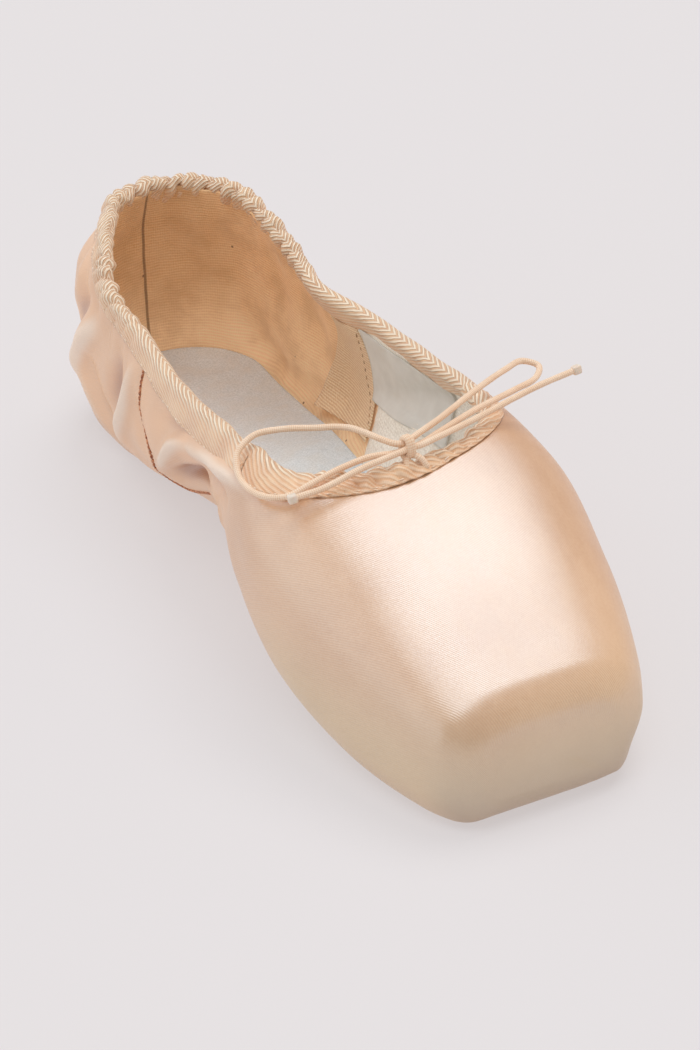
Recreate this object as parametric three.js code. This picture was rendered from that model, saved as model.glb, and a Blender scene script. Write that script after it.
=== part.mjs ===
// A satin pointe shoe, standing empty on its own sole.
// Millimetres, +Z up, toe towards -Y, heel towards +Y, the shoe's middle plane at x = 0.
// The upper is one hollow shell: a stiff toe box that runs into a soft quarter and heel, open at the
// collar and underneath, where the insole and the outsole close it. A tape is folded over the collar
// edge, and the ends of its drawstring are tied in a bow at the throat.
import * as THREE from "three";
import { mergeVertices } from "three/addons/utils/BufferGeometryUtils.js";

// ---------- driving sizes ----------
const LENGTH = 235; // platform to the back of the heel
const TOE_Y = -LENGTH / 2 - 0.25; // foot of the platform, so that the shoe's middle is at y = 0
const PLATFORM_EDGE = 6.5; // radius between the flat platform and the box
const PLATFORM_LEAN = 0.13; // how far the platform falls back for each millimetre of height
const LEAN_REACH = 70; // the lean has died out this far behind the platform
const HEEL_CENTRE = 207.5; // the heel is turned about an upright line this far behind the platform
const HEEL_DEPTH = 27.5; // from that line to the back of the heel
const THROAT = 72; // middle of the collar edge over the vamp, behind the platform
const THROAT_ROUND = 24; // the collar edge rounds from the vamp to the side over this length

const BOX_WALL = 3; // layers of pasted cloth in the toe box
const SOFT_WALL = 1.8; // satin and canvas round the quarter and heel
const BOX_BACK = 80; // the stiff box thins from here
const BOX_END = 102; // to here
const BOX_LOW = 1.4; // and, going round a section, from here down
const BOX_LOW_REACH = 0.6; // over this much of the section
const FIT_GAP = 0.3; // between one piece and the next

const SOLE_THICK = 2.2; // leather outsole
const SOLE_FRONT = 19; // front end of the outsole behind the platform
const SOLE_ROUND = 16; // length over which its front end rounds off
const SOLE_BEVEL = 0.7; // worn lower edge of the outsole
const SEAT = SOLE_THICK + FIT_GAP; // underside of the upper where the outsole lies against it
const SEAT_MARGIN = 1; // the recess for the outsole is this much larger all round
const RIM_MARGIN = 2.8; // and rises out to the pleated margin this far from the outsole
const PLEAT_RISE = 0.9; // the pleated margin beside the outsole clears the floor by this
const OPENING_INSET = 5; // the outsole overlaps the upper's bottom edge by this
const OPENING_FRONT = 30; // front of the opening under the foot
const INSOLE_THICK = 2.5; // suede on a board
const INSOLE_BEVEL = 0.5; // rounded upper edge of the insole
const INSOLE_FRONT = 15; // front end of the insole behind the platform

const TAPE_THICK = 0.9; // binding tape, folded double over the collar edge
const TAPE_GAP = 0.4; // between the tape's legs and the upper
const TAPE_SHOULDER = 0.45; // share of its thickness that the tape's rounded fold rises at its sides
const TAPE_SHOULDER_IN = 0.3; // and how far the fold's sides draw in there, as a share
const TAPE_OUT = 7; // width of the tape down the outside
const TAPE_IN = 7; // width of the tape down the inside
const CORD = 1.6; // elastic drawstring, diameter

// Sections of the shoe, square to its length, at a distance behind the platform.
// half: widest half width. crown: height of the ridge, which past the throat is where it would be.
// belly: height of the widest place. tread: half width of the flat underneath. sole: height of the
// outsole's underside over the floor. top, under: fullness of the curve over and under the belly.
const SECTIONS = [
  { at: 0, half: 24.5, crown: 31, belly: 15.5, tread: 18.5, sole: 0.9, top: 3.4, under: 2.4 },
  { at: 14, half: 31.5, crown: 37, belly: 16, tread: 25, sole: 0.3, top: 3.4, under: 2.4 },
  { at: 42, half: 39.3, crown: 48.3, belly: 19, tread: 29.5, sole: 0, top: 3.3, under: 2.1 },
  { at: 70, half: 43, crown: 56.6, belly: 28, tread: 27.5, sole: 0, top: 3.3, under: 1.8 },
  { at: 92, half: 40.3, crown: 61.5, belly: 34, tread: 22, sole: 1.2, top: 3, under: 1.6 },
  { at: 118, half: 34.2, crown: 66.5, belly: 34, tread: 15.5, sole: 7, top: 2.7, under: 1.5 },
  { at: 148, half: 33, crown: 69.5, belly: 29.5, tread: 14.5, sole: 7.5, top: 2.4, under: 1.7 },
  { at: 180, half: 31.5, crown: 72, belly: 27, tread: 19, sole: 1.8, top: 2.3, under: 1.9 },
  { at: 198, half: 29.5, crown: 73, belly: 28, tread: 21.5, sole: 0, top: 2.3, under: 2 },
  { at: 235, half: 28.5, crown: 75, belly: 28, tread: 22, sole: 0, top: 2.3, under: 2.1 },
];

// Height of the collar edge along the side and round the back.
const COLLAR = [
  { at: 97, high: 57.5 },
  { at: 118, high: 53.8 },
  { at: 148, high: 50.8 },
  { at: 180, high: 53.6 },
  { at: 208, high: 60 },
  { at: 235, high: 61 },
];

// Half width of the outsole along its length.
const OUTSOLE = [
  { at: 19, half: 18.5 },
  { at: 45, half: 22 },
  { at: 68, half: 21.5 },
  { at: 92, half: 16.5 },
  { at: 120, half: 11.5 },
  { at: 150, half: 11 },
  { at: 180, half: 15.5 },
  { at: 200, half: 18.5 },
  { at: 235, half: 18.5 },
];

// ---------- small tools ----------
const clamp = (value, low, high) => Math.min(high, Math.max(low, value));
const ease = (value) => {
  const t = clamp(value, 0, 1);
  return t * t * (3 - 2 * t);
};
const spread = (from, to, count) =>
  Array.from({ length: count + 1 }, (_, i) => from + ((to - from) * i) / count);
const quarterRound = (t) => Math.sqrt(1 - (1 - clamp(t, 0, 1)) ** 2);

// A smooth curve through one column of a table, which never overshoots its rows.
function column(table, name) {
  const at = table.map((row) => row.at);
  const value = table.map((row) => row[name]);
  const last = at.length - 1;
  const rise = [];
  for (let i = 0; i < last; i++) rise.push((value[i + 1] - value[i]) / (at[i + 1] - at[i]));
  const slope = value.map((_, i) => {
    if (i === 0) return rise[0];
    if (i === last) return rise[last - 1];
    if (rise[i - 1] * rise[i] <= 0) return 0;
    return (2 * rise[i - 1] * rise[i]) / (rise[i - 1] + rise[i]);
  });
  return (where) => {
    const x = clamp(where, at[0], at[last]);
    let i = 0;
    while (i < last - 1 && x > at[i + 1]) i++;
    const span = at[i + 1] - at[i];
    const t = (x - at[i]) / span;
    const turn = t * t * (3 - 2 * t);
    const lift = t * (1 - t) * span;
    return (
      value[i] * (1 - turn) + value[i + 1] * turn + lift * (slope[i] * (1 - t) - slope[i + 1] * t)
    );
  };
}

const half = column(SECTIONS, "half");
const crown = column(SECTIONS, "crown");
const belly = column(SECTIONS, "belly");
const tread = column(SECTIONS, "tread");
const soleLine = column(SECTIONS, "sole");
const topFullness = column(SECTIONS, "top");
const underFullness = column(SECTIONS, "under");
const collarHigh = column(COLLAR, "high");
const outsoleTable = column(OUTSOLE, "half");

// A quarter of a full curve, from (1, 0) to (0, 1), fuller than a circle where fullness is over 2.
function quarter(turn, fullness) {
  const angle = (turn * Math.PI) / 2;
  const across = Math.cos(angle);
  const up = Math.sin(angle);
  const reach = (across ** fullness + up ** fullness) ** (-1 / fullness);
  return { across: across * reach, up: up * reach };
}

// ---------- the outer surface of the upper ----------
// along: distance behind the platform; past HEEL_CENTRE it is the arc round the heel.
// around: 0 at the ridge, 1 at the belly, 2 at the edge of the tread, 3 at the middle underneath.
const HEEL_ARC = (Math.PI / 2) * HEEL_DEPTH;
const ALONG_END = HEEL_CENTRE + HEEL_ARC;

const heelTurn = (along) => (Math.max(0, along - HEEL_CENTRE) / HEEL_ARC) * (Math.PI / 2);
const stationOf = (along) =>
  along < HEEL_CENTRE ? along : HEEL_CENTRE + HEEL_DEPTH * Math.sin(heelTurn(along));

// Half width of the outsole's outline, grown by a margin all round.
function outsoleHalf(along, margin = 0) {
  const fromFront = along - SOLE_FRONT + margin;
  return (outsoleTable(stationOf(along)) + margin) * quarterRound(fromFront / SOLE_ROUND);
}

function sectionPoint(along, around) {
  const station = stationOf(along);
  const wide = half(station);
  const middle = belly(station);
  const rim = soleLine(station) + PLEAT_RISE;
  const flat = tread(station);
  if (around <= 1) {
    const q = quarter(1 - around, topFullness(station));
    return { x: wide * q.across, z: middle + (crown(station) - middle) * q.up };
  }
  if (around <= 2) {
    const q = quarter(around - 1, underFullness(station));
    return { x: flat + (wide - flat) * q.across, z: middle - (middle - rim) * q.up };
  }
  const x = flat * (3 - around);
  const rimAt = outsoleHalf(along, RIM_MARGIN);
  const seatAt = outsoleHalf(along, SEAT_MARGIN);
  const recess = rimAt > 0 ? clamp((rimAt - x) / (rimAt - seatAt), 0, 1) : 0;
  return { x, z: rim + (SEAT - PLEAT_RISE) * recess };
}

// Places a section's point in the shoe: the platform's rounded edge and lean, or the turn of the heel.
function place(along, point) {
  let { x, z } = point;
  if (along >= HEEL_CENTRE) {
    const turn = heelTurn(along);
    const deep = HEEL_DEPTH / half(HEEL_CENTRE);
    const y = TOE_Y + HEEL_CENTRE + x * Math.sin(turn) * deep;
    return new THREE.Vector3(x * Math.cos(turn), y, z);
  }
  if (along < PLATFORM_EDGE) {
    const turn = Math.acos(1 - along / PLATFORM_EDGE);
    const inset = PLATFORM_EDGE * (1 - Math.sin(turn));
    const bottom = soleLine(0) + PLEAT_RISE;
    const middle = (crown(0) + bottom) / 2;
    x *= 1 - inset / half(0);
    z = middle + (z - middle) * (1 - inset / (crown(0) - middle));
  }
  const lean = PLATFORM_LEAN * z * Math.max(0, 1 - along / LEAN_REACH) ** 1.5;
  return new THREE.Vector3(x, TOE_Y + along + lean, z);
}

const surface = (along, around) => place(along, sectionPoint(along, around));

const STEP_ALONG = 0.05;
const STEP_AROUND = 0.002;
// The two directions in the surface at a point, from short steps either side of it.
function directions(along, around) {
  const a0 = Math.max(1e-4, along - STEP_ALONG);
  const a1 = Math.min(ALONG_END, along + STEP_ALONG);
  const b0 = Math.max(0, around - STEP_AROUND);
  const b1 = Math.min(3, around + STEP_AROUND);
  return {
    back: surface(a1, around).sub(surface(a0, around)).divideScalar(a1 - a0),
    down: surface(along, b1).sub(surface(along, b0)).divideScalar(b1 - b0),
  };
}

// Outward normal. On the middle plane it has no sideways part, so the two halves meet cleanly.
function normal(along, around) {
  if (along <= 1e-6) return new THREE.Vector3(0, -1, PLATFORM_LEAN).normalize();
  const { back, down } = directions(along, around);
  const n = back.cross(down);
  if (around <= 0 || around >= 3 || along >= ALONG_END - 1e-6) n.x = 0;
  return n.normalize().negate();
}

function wall(along, around) {
  const box = 1 - ease((along - BOX_BACK) / (BOX_END - BOX_BACK));
  const above = 1 - ease((around - BOX_LOW) / BOX_LOW_REACH);
  return SOFT_WALL + (BOX_WALL - SOFT_WALL) * box * above;
}

// A point a given depth under the outer surface; a negative depth stands proud of it.
function beneath(along, around, depth) {
  return surface(along, around).addScaledVector(normal(along, around), -depth);
}

// Halves a span of places round a section until it closes on the place where the surface has come
// down past a level.
const HALVINGS = 40;
function placeWhere(isOver, from, to) {
  let low = from;
  let far = to;
  for (let i = 0; i < HALVINGS; i++) {
    const mid = (low + far) / 2;
    if (isOver(mid)) low = mid;
    else far = mid;
  }
  return (low + far) / 2;
}

// ---------- the two edges of the upper ----------
// Collar edge: over the vamp it is a quarter round of the section's angle, then it keeps its height.
function aroundAtHeight(along, high) {
  return placeWhere((around) => sectionPoint(along, around).z > high, 0, 1);
}
const SIDE_START = THROAT + THROAT_ROUND;
const SIDE_START_AROUND = aroundAtHeight(SIDE_START, collarHigh(SIDE_START));
function collarAround(along) {
  if (along <= THROAT) return 0;
  if (along < SIDE_START) return SIDE_START_AROUND * quarterRound((along - THROAT) / THROAT_ROUND);
  return aroundAtHeight(along, collarHigh(stationOf(along)));
}

// Bottom edge: under the foot the upper stops short of the middle, inside the outsole's outline.
function bottomAround(along) {
  if (along <= OPENING_FRONT) return 3;
  const rounded = quarterRound((along - OPENING_FRONT) / SOLE_ROUND);
  const open = (outsoleTable(stationOf(along)) - OPENING_INSET) * rounded;
  return 3 - open / tread(stationOf(along));
}

// ---------- closed meshes from rows of points ----------
const WELD = 1e-4; // points nearer than this are one point

// One closed mesh, whose faces share their points.
function welded(geometry) {
  geometry.deleteAttribute("uv");
  geometry.deleteAttribute("normal");
  const made = mergeVertices(geometry, WELD);
  made.computeVertexNormals();
  return made;
}

// Each row of points is one half of a section, on the side where x is positive. The rows are joined
// into a skin, the skin is mirrored, and points that fall together are welded.
class Skin {
  constructor() {
    this.points = [];
  }

  triangle(a, b, c) {
    if (a.distanceTo(b) < WELD || b.distanceTo(c) < WELD || c.distanceTo(a) < WELD) return;
    this.points.push(a, b, c);
    const mirror = (p) => new THREE.Vector3(-p.x, p.y, p.z);
    this.points.push(mirror(a), mirror(c), mirror(b));
  }

  quad(a, b, c, d) {
    this.triangle(a, b, c);
    this.triangle(a, c, d);
  }

  // Joins two rows of the same number of points.
  strip(first, second) {
    for (let i = 0; i + 1 < first.length; i++) {
      this.quad(first[i], first[i + 1], second[i + 1], second[i]);
    }
  }

  fan(centre, row) {
    for (let i = 0; i + 1 < row.length; i++) this.triangle(centre, row[i], row[i + 1]);
  }

  geometry() {
    return welded(new THREE.BufferGeometry().setFromPoints(this.points));
  }
}

const onMiddle = (row) => row.map((p) => new THREE.Vector3(0, p.y, p.z));

// Distances behind the platform at which the upper's sections are taken: close together where the
// form turns quickly (platform edge, front of the outsole, bottom opening, throat, heel).
function upperStations() {
  const list = [];
  const run = (from, to, count, bend = (t) => t) => {
    for (let i = 0; i < count; i++) list.push(from + (to - from) * bend(i / count));
  };
  const slowStart = (t) => 1 - Math.cos((t * Math.PI) / 2);
  const openingBack = OPENING_FRONT + SOLE_ROUND;
  run(0, PLATFORM_EDGE, 4, slowStart);
  run(PLATFORM_EDGE, SOLE_FRONT - RIM_MARGIN, 2);
  run(SOLE_FRONT - RIM_MARGIN, SOLE_FRONT, 2);
  run(SOLE_FRONT, OPENING_FRONT, 3);
  run(OPENING_FRONT, openingBack, 4, slowStart);
  run(openingBack, THROAT, 4);
  run(THROAT, SIDE_START, 8, slowStart);
  run(SIDE_START, HEEL_CENTRE, 12);
  run(HEEL_CENTRE, ALONG_END, 9);
  list.push(ALONG_END);
  return list;
}

// Places round one section, from the collar edge or the ridge to the bottom edge or the middle
// underneath. The places over the vamp draw apart ahead of the throat, so that they pass round it
// without a kink, and two of the last ones lie on the edges of the outsole's recess.
const EDGE_ROWS = 3;
const TOP_ROWS = 5;
const SIDE_ROWS = 6;
const DRAW_APART = 20;
function upperPlaces(along) {
  const edge = collarAround(along);
  const drawn = ease((along - DRAW_APART) / (SIDE_START - DRAW_APART)) * SIDE_START_AROUND;
  const top = Math.max(edge, drawn);
  const firstRow = top + (1 - top) / TOP_ROWS;
  const flat = tread(stationOf(along));
  const ahead = along <= SOLE_FRONT - RIM_MARGIN;
  const rim = ahead ? 3 : 3 - outsoleHalf(along, RIM_MARGIN) / flat;
  const seat = ahead ? 3 : 3 - outsoleHalf(along, SEAT_MARGIN) / flat;
  const low = bottomAround(along);
  return [
    ...spread(edge, firstRow, EDGE_ROWS),
    ...spread(firstRow, 1, TOP_ROWS - 1).slice(1),
    ...spread(1, 2, SIDE_ROWS).slice(1),
    rim,
    seat,
    (seat + low) / 2,
    low,
  ];
}

function upperGeometry() {
  const skin = new Skin();
  const stations = upperStations();
  const lowest = upperPlaces(0).length - 1;
  const shell = stations.map((along) => {
    const places = upperPlaces(along);
    const outer = places.map((around) => surface(along, around));
    const inner = places.map((around) => beneath(along, around, wall(along, around)));
    const last = along === ALONG_END;
    const ridge = along <= THROAT;
    const closed = along <= OPENING_FRONT;
    for (const row of [outer, inner]) {
      if (last) row.forEach((p) => p.setX(0));
      if (ridge) row[0].setX(0);
      if (closed) row[lowest].setX(0);
    }
    return { outer, inner };
  });
  for (let i = 0; i + 1 < shell.length; i++) {
    const here = shell[i];
    const next = shell[i + 1];
    skin.strip(here.outer, next.outer);
    skin.strip(next.inner, here.inner);
    if (stations[i] >= THROAT) {
      skin.quad(here.inner[0], here.outer[0], next.outer[0], next.inner[0]);
    }
    if (stations[i] >= OPENING_FRONT) {
      skin.quad(here.outer[lowest], here.inner[lowest], next.inner[lowest], next.outer[lowest]);
    }
  }
  // The flat platform, outside and inside, fanned from its middle.
  const face = shell[0];
  const middleOf = (row) => onMiddle([row[0]])[0].lerp(onMiddle([row[lowest]])[0], 0.5);
  skin.fan(middleOf(face.outer), [...face.outer].reverse());
  skin.fan(middleOf(face.inner), face.inner);
  return skin.geometry();
}

// ---------- outsole and insole: flat pieces that follow the line of the sole ----------
// halfWidth: half width of the piece at a distance along the shoe. profile: half of its section, as
// points at a share of the half width less an inset, and a height over the line of the sole.
function bedGeometry(stations, halfWidth, profile) {
  const skin = new Skin();
  const rows = stations.map((along) => {
    const wide = halfWidth(along);
    const base = soleLine(stationOf(along));
    return profile.map(({ share, inset, high }) => {
      const x = share * Math.max(0, wide - inset);
      return place(Math.max(along, PLATFORM_EDGE), { x, z: base + high });
    });
  });
  rows[rows.length - 1].forEach((p) => p.setX(0));
  rows.forEach((row) => {
    row[0].setX(0);
    row[row.length - 1].setX(0);
  });
  for (let i = 0; i + 1 < rows.length; i++) skin.strip(rows[i + 1], rows[i]);
  const front = rows[0];
  const middle = front[0].clone().lerp(front[front.length - 1], 0.5);
  skin.fan(middle, front);
  return skin.geometry();
}

function outsoleGeometry() {
  const roundEnd = SOLE_FRONT + SOLE_ROUND;
  const stations = [
    ...spread(0, 1, 8).map((t) => SOLE_FRONT + SOLE_ROUND * t * t), // the rounded front end
    ...spread(roundEnd, HEEL_CENTRE, 22).slice(1),
    ...spread(HEEL_CENTRE, ALONG_END, 10).slice(1), // round the heel
  ];
  return bedGeometry(stations, outsoleHalf, [
    { share: 0, inset: 0, high: 0 },
    { share: 0.5, inset: SOLE_BEVEL, high: 0 },
    { share: 1, inset: SOLE_BEVEL, high: 0 },
    { share: 1, inset: 0, high: SOLE_BEVEL },
    { share: 1, inset: 0, high: SOLE_THICK },
    { share: 0.5, inset: 0, high: SOLE_THICK },
    { share: 0, inset: 0, high: SOLE_THICK },
  ]);
}

// Half width inside the upper at the height of the insole's underside.
const INSOLE_BASE = SEAT + SOFT_WALL + FIT_GAP;
const INSOLE_CLEAR = 0.9; // gap between the insole's edge and the upper's inside
const PAST_TREAD = 2.2; // a place just past the edge of the tread
function insideHalf(along) {
  const level = soleLine(stationOf(along)) + INSOLE_BASE;
  const inside = (around) => beneath(along, around, wall(along, around));
  const inner = inside(placeWhere((around) => inside(around).z > level, 1, PAST_TREAD));
  if (along < HEEL_CENTRE) return inner.x;
  const deep = HEEL_DEPTH / half(HEEL_CENTRE);
  return Math.hypot(inner.x, (inner.y - TOE_Y - HEEL_CENTRE) / deep);
}

function insoleGeometry() {
  const stations = upperStations().filter((along) => along > INSOLE_FRONT);
  const halfWidth = (along) => insideHalf(along) - INSOLE_CLEAR;
  return bedGeometry(stations, halfWidth, [
    { share: 0, inset: 0, high: INSOLE_BASE },
    { share: 0.5, inset: 0, high: INSOLE_BASE },
    { share: 1, inset: 0, high: INSOLE_BASE },
    { share: 1, inset: 0, high: INSOLE_BASE + INSOLE_THICK - INSOLE_BEVEL },
    { share: 1, inset: INSOLE_BEVEL, high: INSOLE_BASE + INSOLE_THICK },
    { share: 0.5, inset: 0, high: INSOLE_BASE + INSOLE_THICK },
    { share: 0, inset: 0, high: INSOLE_BASE + INSOLE_THICK },
  ]);
}

// ---------- binding ----------
// From a point of the collar edge, walks over the surface square to the edge, and gives the place
// (along, around) reached after a given distance.
function walkFromEdge(along, heading, distance) {
  const STEPS = 4;
  let a = along;
  let b = collarAround(along);
  for (let i = 0; i < STEPS; i++) {
    const { back, down } = directions(a, b);
    const way = heading.clone().multiplyScalar(distance / STEPS);
    const bb = back.dot(back);
    const bd = back.dot(down);
    const dd = down.dot(down);
    const wb = way.dot(back);
    const wd = way.dot(down);
    const size = bb * dd - bd * bd;
    a += (wb * dd - wd * bd) / size;
    b += (wd * bb - wb * bd) / size;
    if (a > ALONG_END) a = ALONG_END;
    if (b < 0) b = 0;
  }
  return { along: a, around: b };
}

const edgePoint = (along) => surface(along, collarAround(along));

const EDGE_STEP = 0.2;
// The way over the surface, square to the collar edge and away from it.
function awayFromEdge(along) {
  const out = normal(along, collarAround(along));
  let run;
  if (along <= THROAT) run = new THREE.Vector3(1, 0, 0);
  else if (along >= ALONG_END) run = new THREE.Vector3(-1, 0, 0);
  else {
    const near = Math.min(EDGE_STEP, (along - THROAT) / 2, (ALONG_END - along) / 2);
    run = edgePoint(along + near).sub(edgePoint(along - near));
  }
  run.addScaledVector(out, -run.dot(out)).normalize();
  return out.clone().cross(run).negate().normalize();
}

function bindingGeometry() {
  const LEG_ROWS = 2;
  const skin = new Skin();
  const stations = upperStations().filter((along) => along >= THROAT);
  const rows = stations.map((along) => {
    const away = awayFromEdge(along);
    const leg = (length, depth) =>
      spread(0, 1, LEG_ROWS).map((t) => {
        const spot = walkFromEdge(along, away, length * t);
        const thick = wall(spot.along, spot.around);
        return beneath(spot.along, spot.around, depth(thick));
      });
    const lift = (p, rise) => p.addScaledVector(away, -rise);
    const outerFace = leg(TAPE_OUT, () => -TAPE_GAP - TAPE_THICK);
    const outerBack = leg(TAPE_OUT, () => -TAPE_GAP);
    const innerBack = leg(TAPE_IN, (thick) => thick + TAPE_GAP);
    const innerFace = leg(TAPE_IN, (thick) => thick + TAPE_GAP + TAPE_THICK);
    lift(outerBack[0], TAPE_GAP);
    lift(innerBack[0], TAPE_GAP);
    const crest = outerBack[0].clone().lerp(innerBack[0], 0.5);
    lift(crest, TAPE_THICK);
    const shoulder = (face, back) => {
      const side = face.clone().lerp(back, TAPE_SHOULDER_IN);
      return lift(side, TAPE_GAP + TAPE_THICK * TAPE_SHOULDER);
    };
    const loop = [
      ...outerFace.slice(1).reverse(),
      shoulder(outerFace[0], outerBack[0]),
      crest,
      shoulder(innerFace[0], innerBack[0]),
      ...innerFace.slice(1),
      ...[...innerBack].reverse(),
      ...outerBack,
    ];
    loop.push(loop[0].clone());
    if (along <= THROAT || along >= ALONG_END) loop.forEach((p) => p.setX(0));
    return loop;
  });
  for (let i = 0; i + 1 < rows.length; i++) skin.strip(rows[i + 1], rows[i]);
  return skin.geometry();
}

// ---------- the drawstring's bow ----------
// The knot lies on the tape at the middle of the throat. Two loops and two free ends leave it, one of
// each to either side. The tables give the middle line of each cord, from the knot outwards.
const KNOT = { x: 0, y: -43.8, z: 62 };
const KNOT_WIDE = 3.4; // two turns of cord side by side
const KNOT_CORE = 2.2; // radius of the bundle that the turns hold
const KNOT_TALL = 1.05; // the turns are taller than round
const KNOT_DEEP = 0.8; // and flattened from front to back
const KNOT_TURNS = 2;
const KNOT_FULLNESS = 0.6; // under 1, so that the turns are round rather than pointed
const KNOT_TILT = 0.25; // radians from level
const KNOT_RINGS = 12;
const KNOT_SIDES = 20;

const LOOP_LEFT = [
  { x: -2.7, y: -42.4, z: 63 },
  { x: -9.5, y: -31, z: 63.5 },
  { x: -16, y: -25.5, z: 62.5 },
  { x: -22.7, y: -20.5, z: 61.5 },
  { x: -29.5, y: -19, z: 61 },
  { x: -35, y: -21, z: 58.5 },
  { x: -37, y: -25.5, z: 55.8 },
  { x: -37.2, y: -31.5, z: 55.1 },
  { x: -35.4, y: -37.6, z: 55.5 },
  { x: -31.5, y: -41.6, z: 56.6 },
  { x: -26.5, y: -42.4, z: 58.4 },
  { x: -19, y: -42.4, z: 60.3 },
  { x: -9.3, y: -42.2, z: 61.2 },
  { x: -2.7, y: -43.2, z: 60.8 },
];

const END_LEFT = [
  { x: -2.7, y: -45.4, z: 62.2 },
  { x: -14, y: -46, z: 61.2 },
  { x: -24, y: -46.8, z: 59.6 },
  { x: -31.7, y: -46.2, z: 58.8 },
];

const LOOP_RIGHT = [
  { x: 2.7, y: -42.1, z: 63.2 },
  { x: 11, y: -38.8, z: 63.6 },
  { x: 25, y: -31, z: 63.2 },
  { x: 38.5, y: -22.8, z: 61.3 },
  { x: 44.6, y: -19.8, z: 60.2 },
  { x: 48, y: -22, z: 59 },
  { x: 45, y: -26.2, z: 58.6 },
  { x: 37, y: -29.6, z: 59.2 },
  { x: 23, y: -35.4, z: 60.9 },
  { x: 10, y: -41, z: 61.5 },
  { x: 2.7, y: -43, z: 60.9 },
];

const END_RIGHT = [
  { x: 2.7, y: -45.1, z: 62.3 },
  { x: 8, y: -44.4, z: 62.6 },
  { x: 20.5, y: -40.6, z: 62 },
  { x: 36, y: -35.5, z: 61.5 },
  { x: 43, y: -34.2, z: 61.8 },
  { x: 52, y: -33.4, z: 62.3 },
];

const CORD_SIDES = 8;
const CORD_STEP = 3.7; // length of each straight piece of a cord

function cordGeometry(table) {
  const path = new THREE.CatmullRomCurve3(
    table.map(({ x, y, z }) => new THREE.Vector3(x, y, z)),
    false,
    "centripetal",
  );
  const ring = new THREE.Shape();
  for (let i = 0; i < CORD_SIDES; i++) {
    const turn = (2 * Math.PI * i) / CORD_SIDES;
    const x = (CORD / 2) * Math.cos(turn);
    const y = (CORD / 2) * Math.sin(turn);
    if (i === 0) ring.moveTo(x, y);
    else ring.lineTo(x, y);
  }
  ring.closePath();
  const steps = Math.round(path.getLength() / CORD_STEP);
  const tube = new THREE.ExtrudeGeometry(ring, { extrudePath: path, steps, bevelEnabled: false });
  return welded(tube);
}

function knotGeometry() {
  const profile = [new THREE.Vector2(0, -KNOT_WIDE / 2)];
  for (let i = 0; i <= KNOT_RINGS; i++) {
    const across = i / KNOT_RINGS;
    const bulge = Math.abs(Math.sin(Math.PI * KNOT_TURNS * across)) ** KNOT_FULLNESS;
    const x = (across - 0.5) * KNOT_WIDE;
    profile.push(new THREE.Vector2(KNOT_CORE + (CORD / 2) * bulge, x));
  }
  profile.push(new THREE.Vector2(0, KNOT_WIDE / 2));
  const turned = new THREE.LatheGeometry(profile, KNOT_SIDES);
  turned.rotateZ(-Math.PI / 2);
  turned.scale(1, KNOT_DEEP, KNOT_TALL);
  turned.rotateZ(KNOT_TILT);
  turned.translate(KNOT.x, KNOT.y, KNOT.z);
  return welded(turned);
}

// ---------- the assembled shoe ----------
const SATIN = { color: 0xf0d2b8, roughness: 0.4 };
const LEATHER = { color: 0xc98f5e, roughness: 0.7 };
const SUEDE = { color: 0xcac8c2, roughness: 0.95 };
const TAPE = { color: 0xf0cba5, roughness: 0.6 };
const ELASTIC = { color: 0xe8be9a, roughness: 0.6 };

const shoe = new THREE.Group();
function add(name, geometry, finish) {
  const mesh = new THREE.Mesh(geometry, new THREE.MeshStandardMaterial(finish));
  mesh.name = name;
  shoe.add(mesh);
}

add("upper", upperGeometry(), SATIN);
add("outsole", outsoleGeometry(), LEATHER);
add("insole", insoleGeometry(), SUEDE);
add("binding", bindingGeometry(), TAPE);
add("knot", knotGeometry(), ELASTIC);
add("loop_left", cordGeometry(LOOP_LEFT), ELASTIC);
add("loop_right", cordGeometry(LOOP_RIGHT), ELASTIC);
add("end_left", cordGeometry(END_LEFT), ELASTIC);
add("end_right", cordGeometry(END_RIGHT), ELASTIC);

export default shoe;
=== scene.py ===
# %% [markdown]
# # A satin pointe shoe
# The imported model of the shoe is the frame. It gives every piece its place and size, and this script
# makes the pieces that show: satin, canvas, tape, drawstring, suede and leather. The frame is read
# first.

import bmesh
import bpy
import numpy as np
from mathutils import Matrix, Vector


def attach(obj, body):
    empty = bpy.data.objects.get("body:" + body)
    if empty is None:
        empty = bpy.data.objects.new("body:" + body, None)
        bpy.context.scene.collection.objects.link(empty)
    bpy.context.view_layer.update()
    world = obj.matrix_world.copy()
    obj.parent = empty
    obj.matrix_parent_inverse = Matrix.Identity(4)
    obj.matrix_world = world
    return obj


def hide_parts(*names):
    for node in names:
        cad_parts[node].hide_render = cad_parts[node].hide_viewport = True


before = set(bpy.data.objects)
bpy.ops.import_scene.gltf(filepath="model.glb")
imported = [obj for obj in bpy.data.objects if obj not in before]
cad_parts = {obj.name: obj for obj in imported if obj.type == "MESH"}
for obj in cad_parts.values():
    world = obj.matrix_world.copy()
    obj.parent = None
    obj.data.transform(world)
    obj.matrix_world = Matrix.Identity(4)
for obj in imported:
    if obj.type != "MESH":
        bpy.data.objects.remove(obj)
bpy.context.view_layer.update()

print("nodes of the frame:", sorted(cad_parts))

# %% [markdown]
# ## Camera
# The camera looks down at the toe from its left. Its place is the distance and height that a person
# with a long lens would choose, and a slight roll tips the shoe a little. It aims at the middle of the
# shoe.

# %% Camera
CAMERA_PLACE = Vector((-0.3978, -0.8463, 0.6258))
CAMERA_AIM = Vector((-0.004, -0.018, 0.026))
CAMERA_ROLL = np.radians(-2.42)
CAMERA_LENS = 150.0

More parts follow.
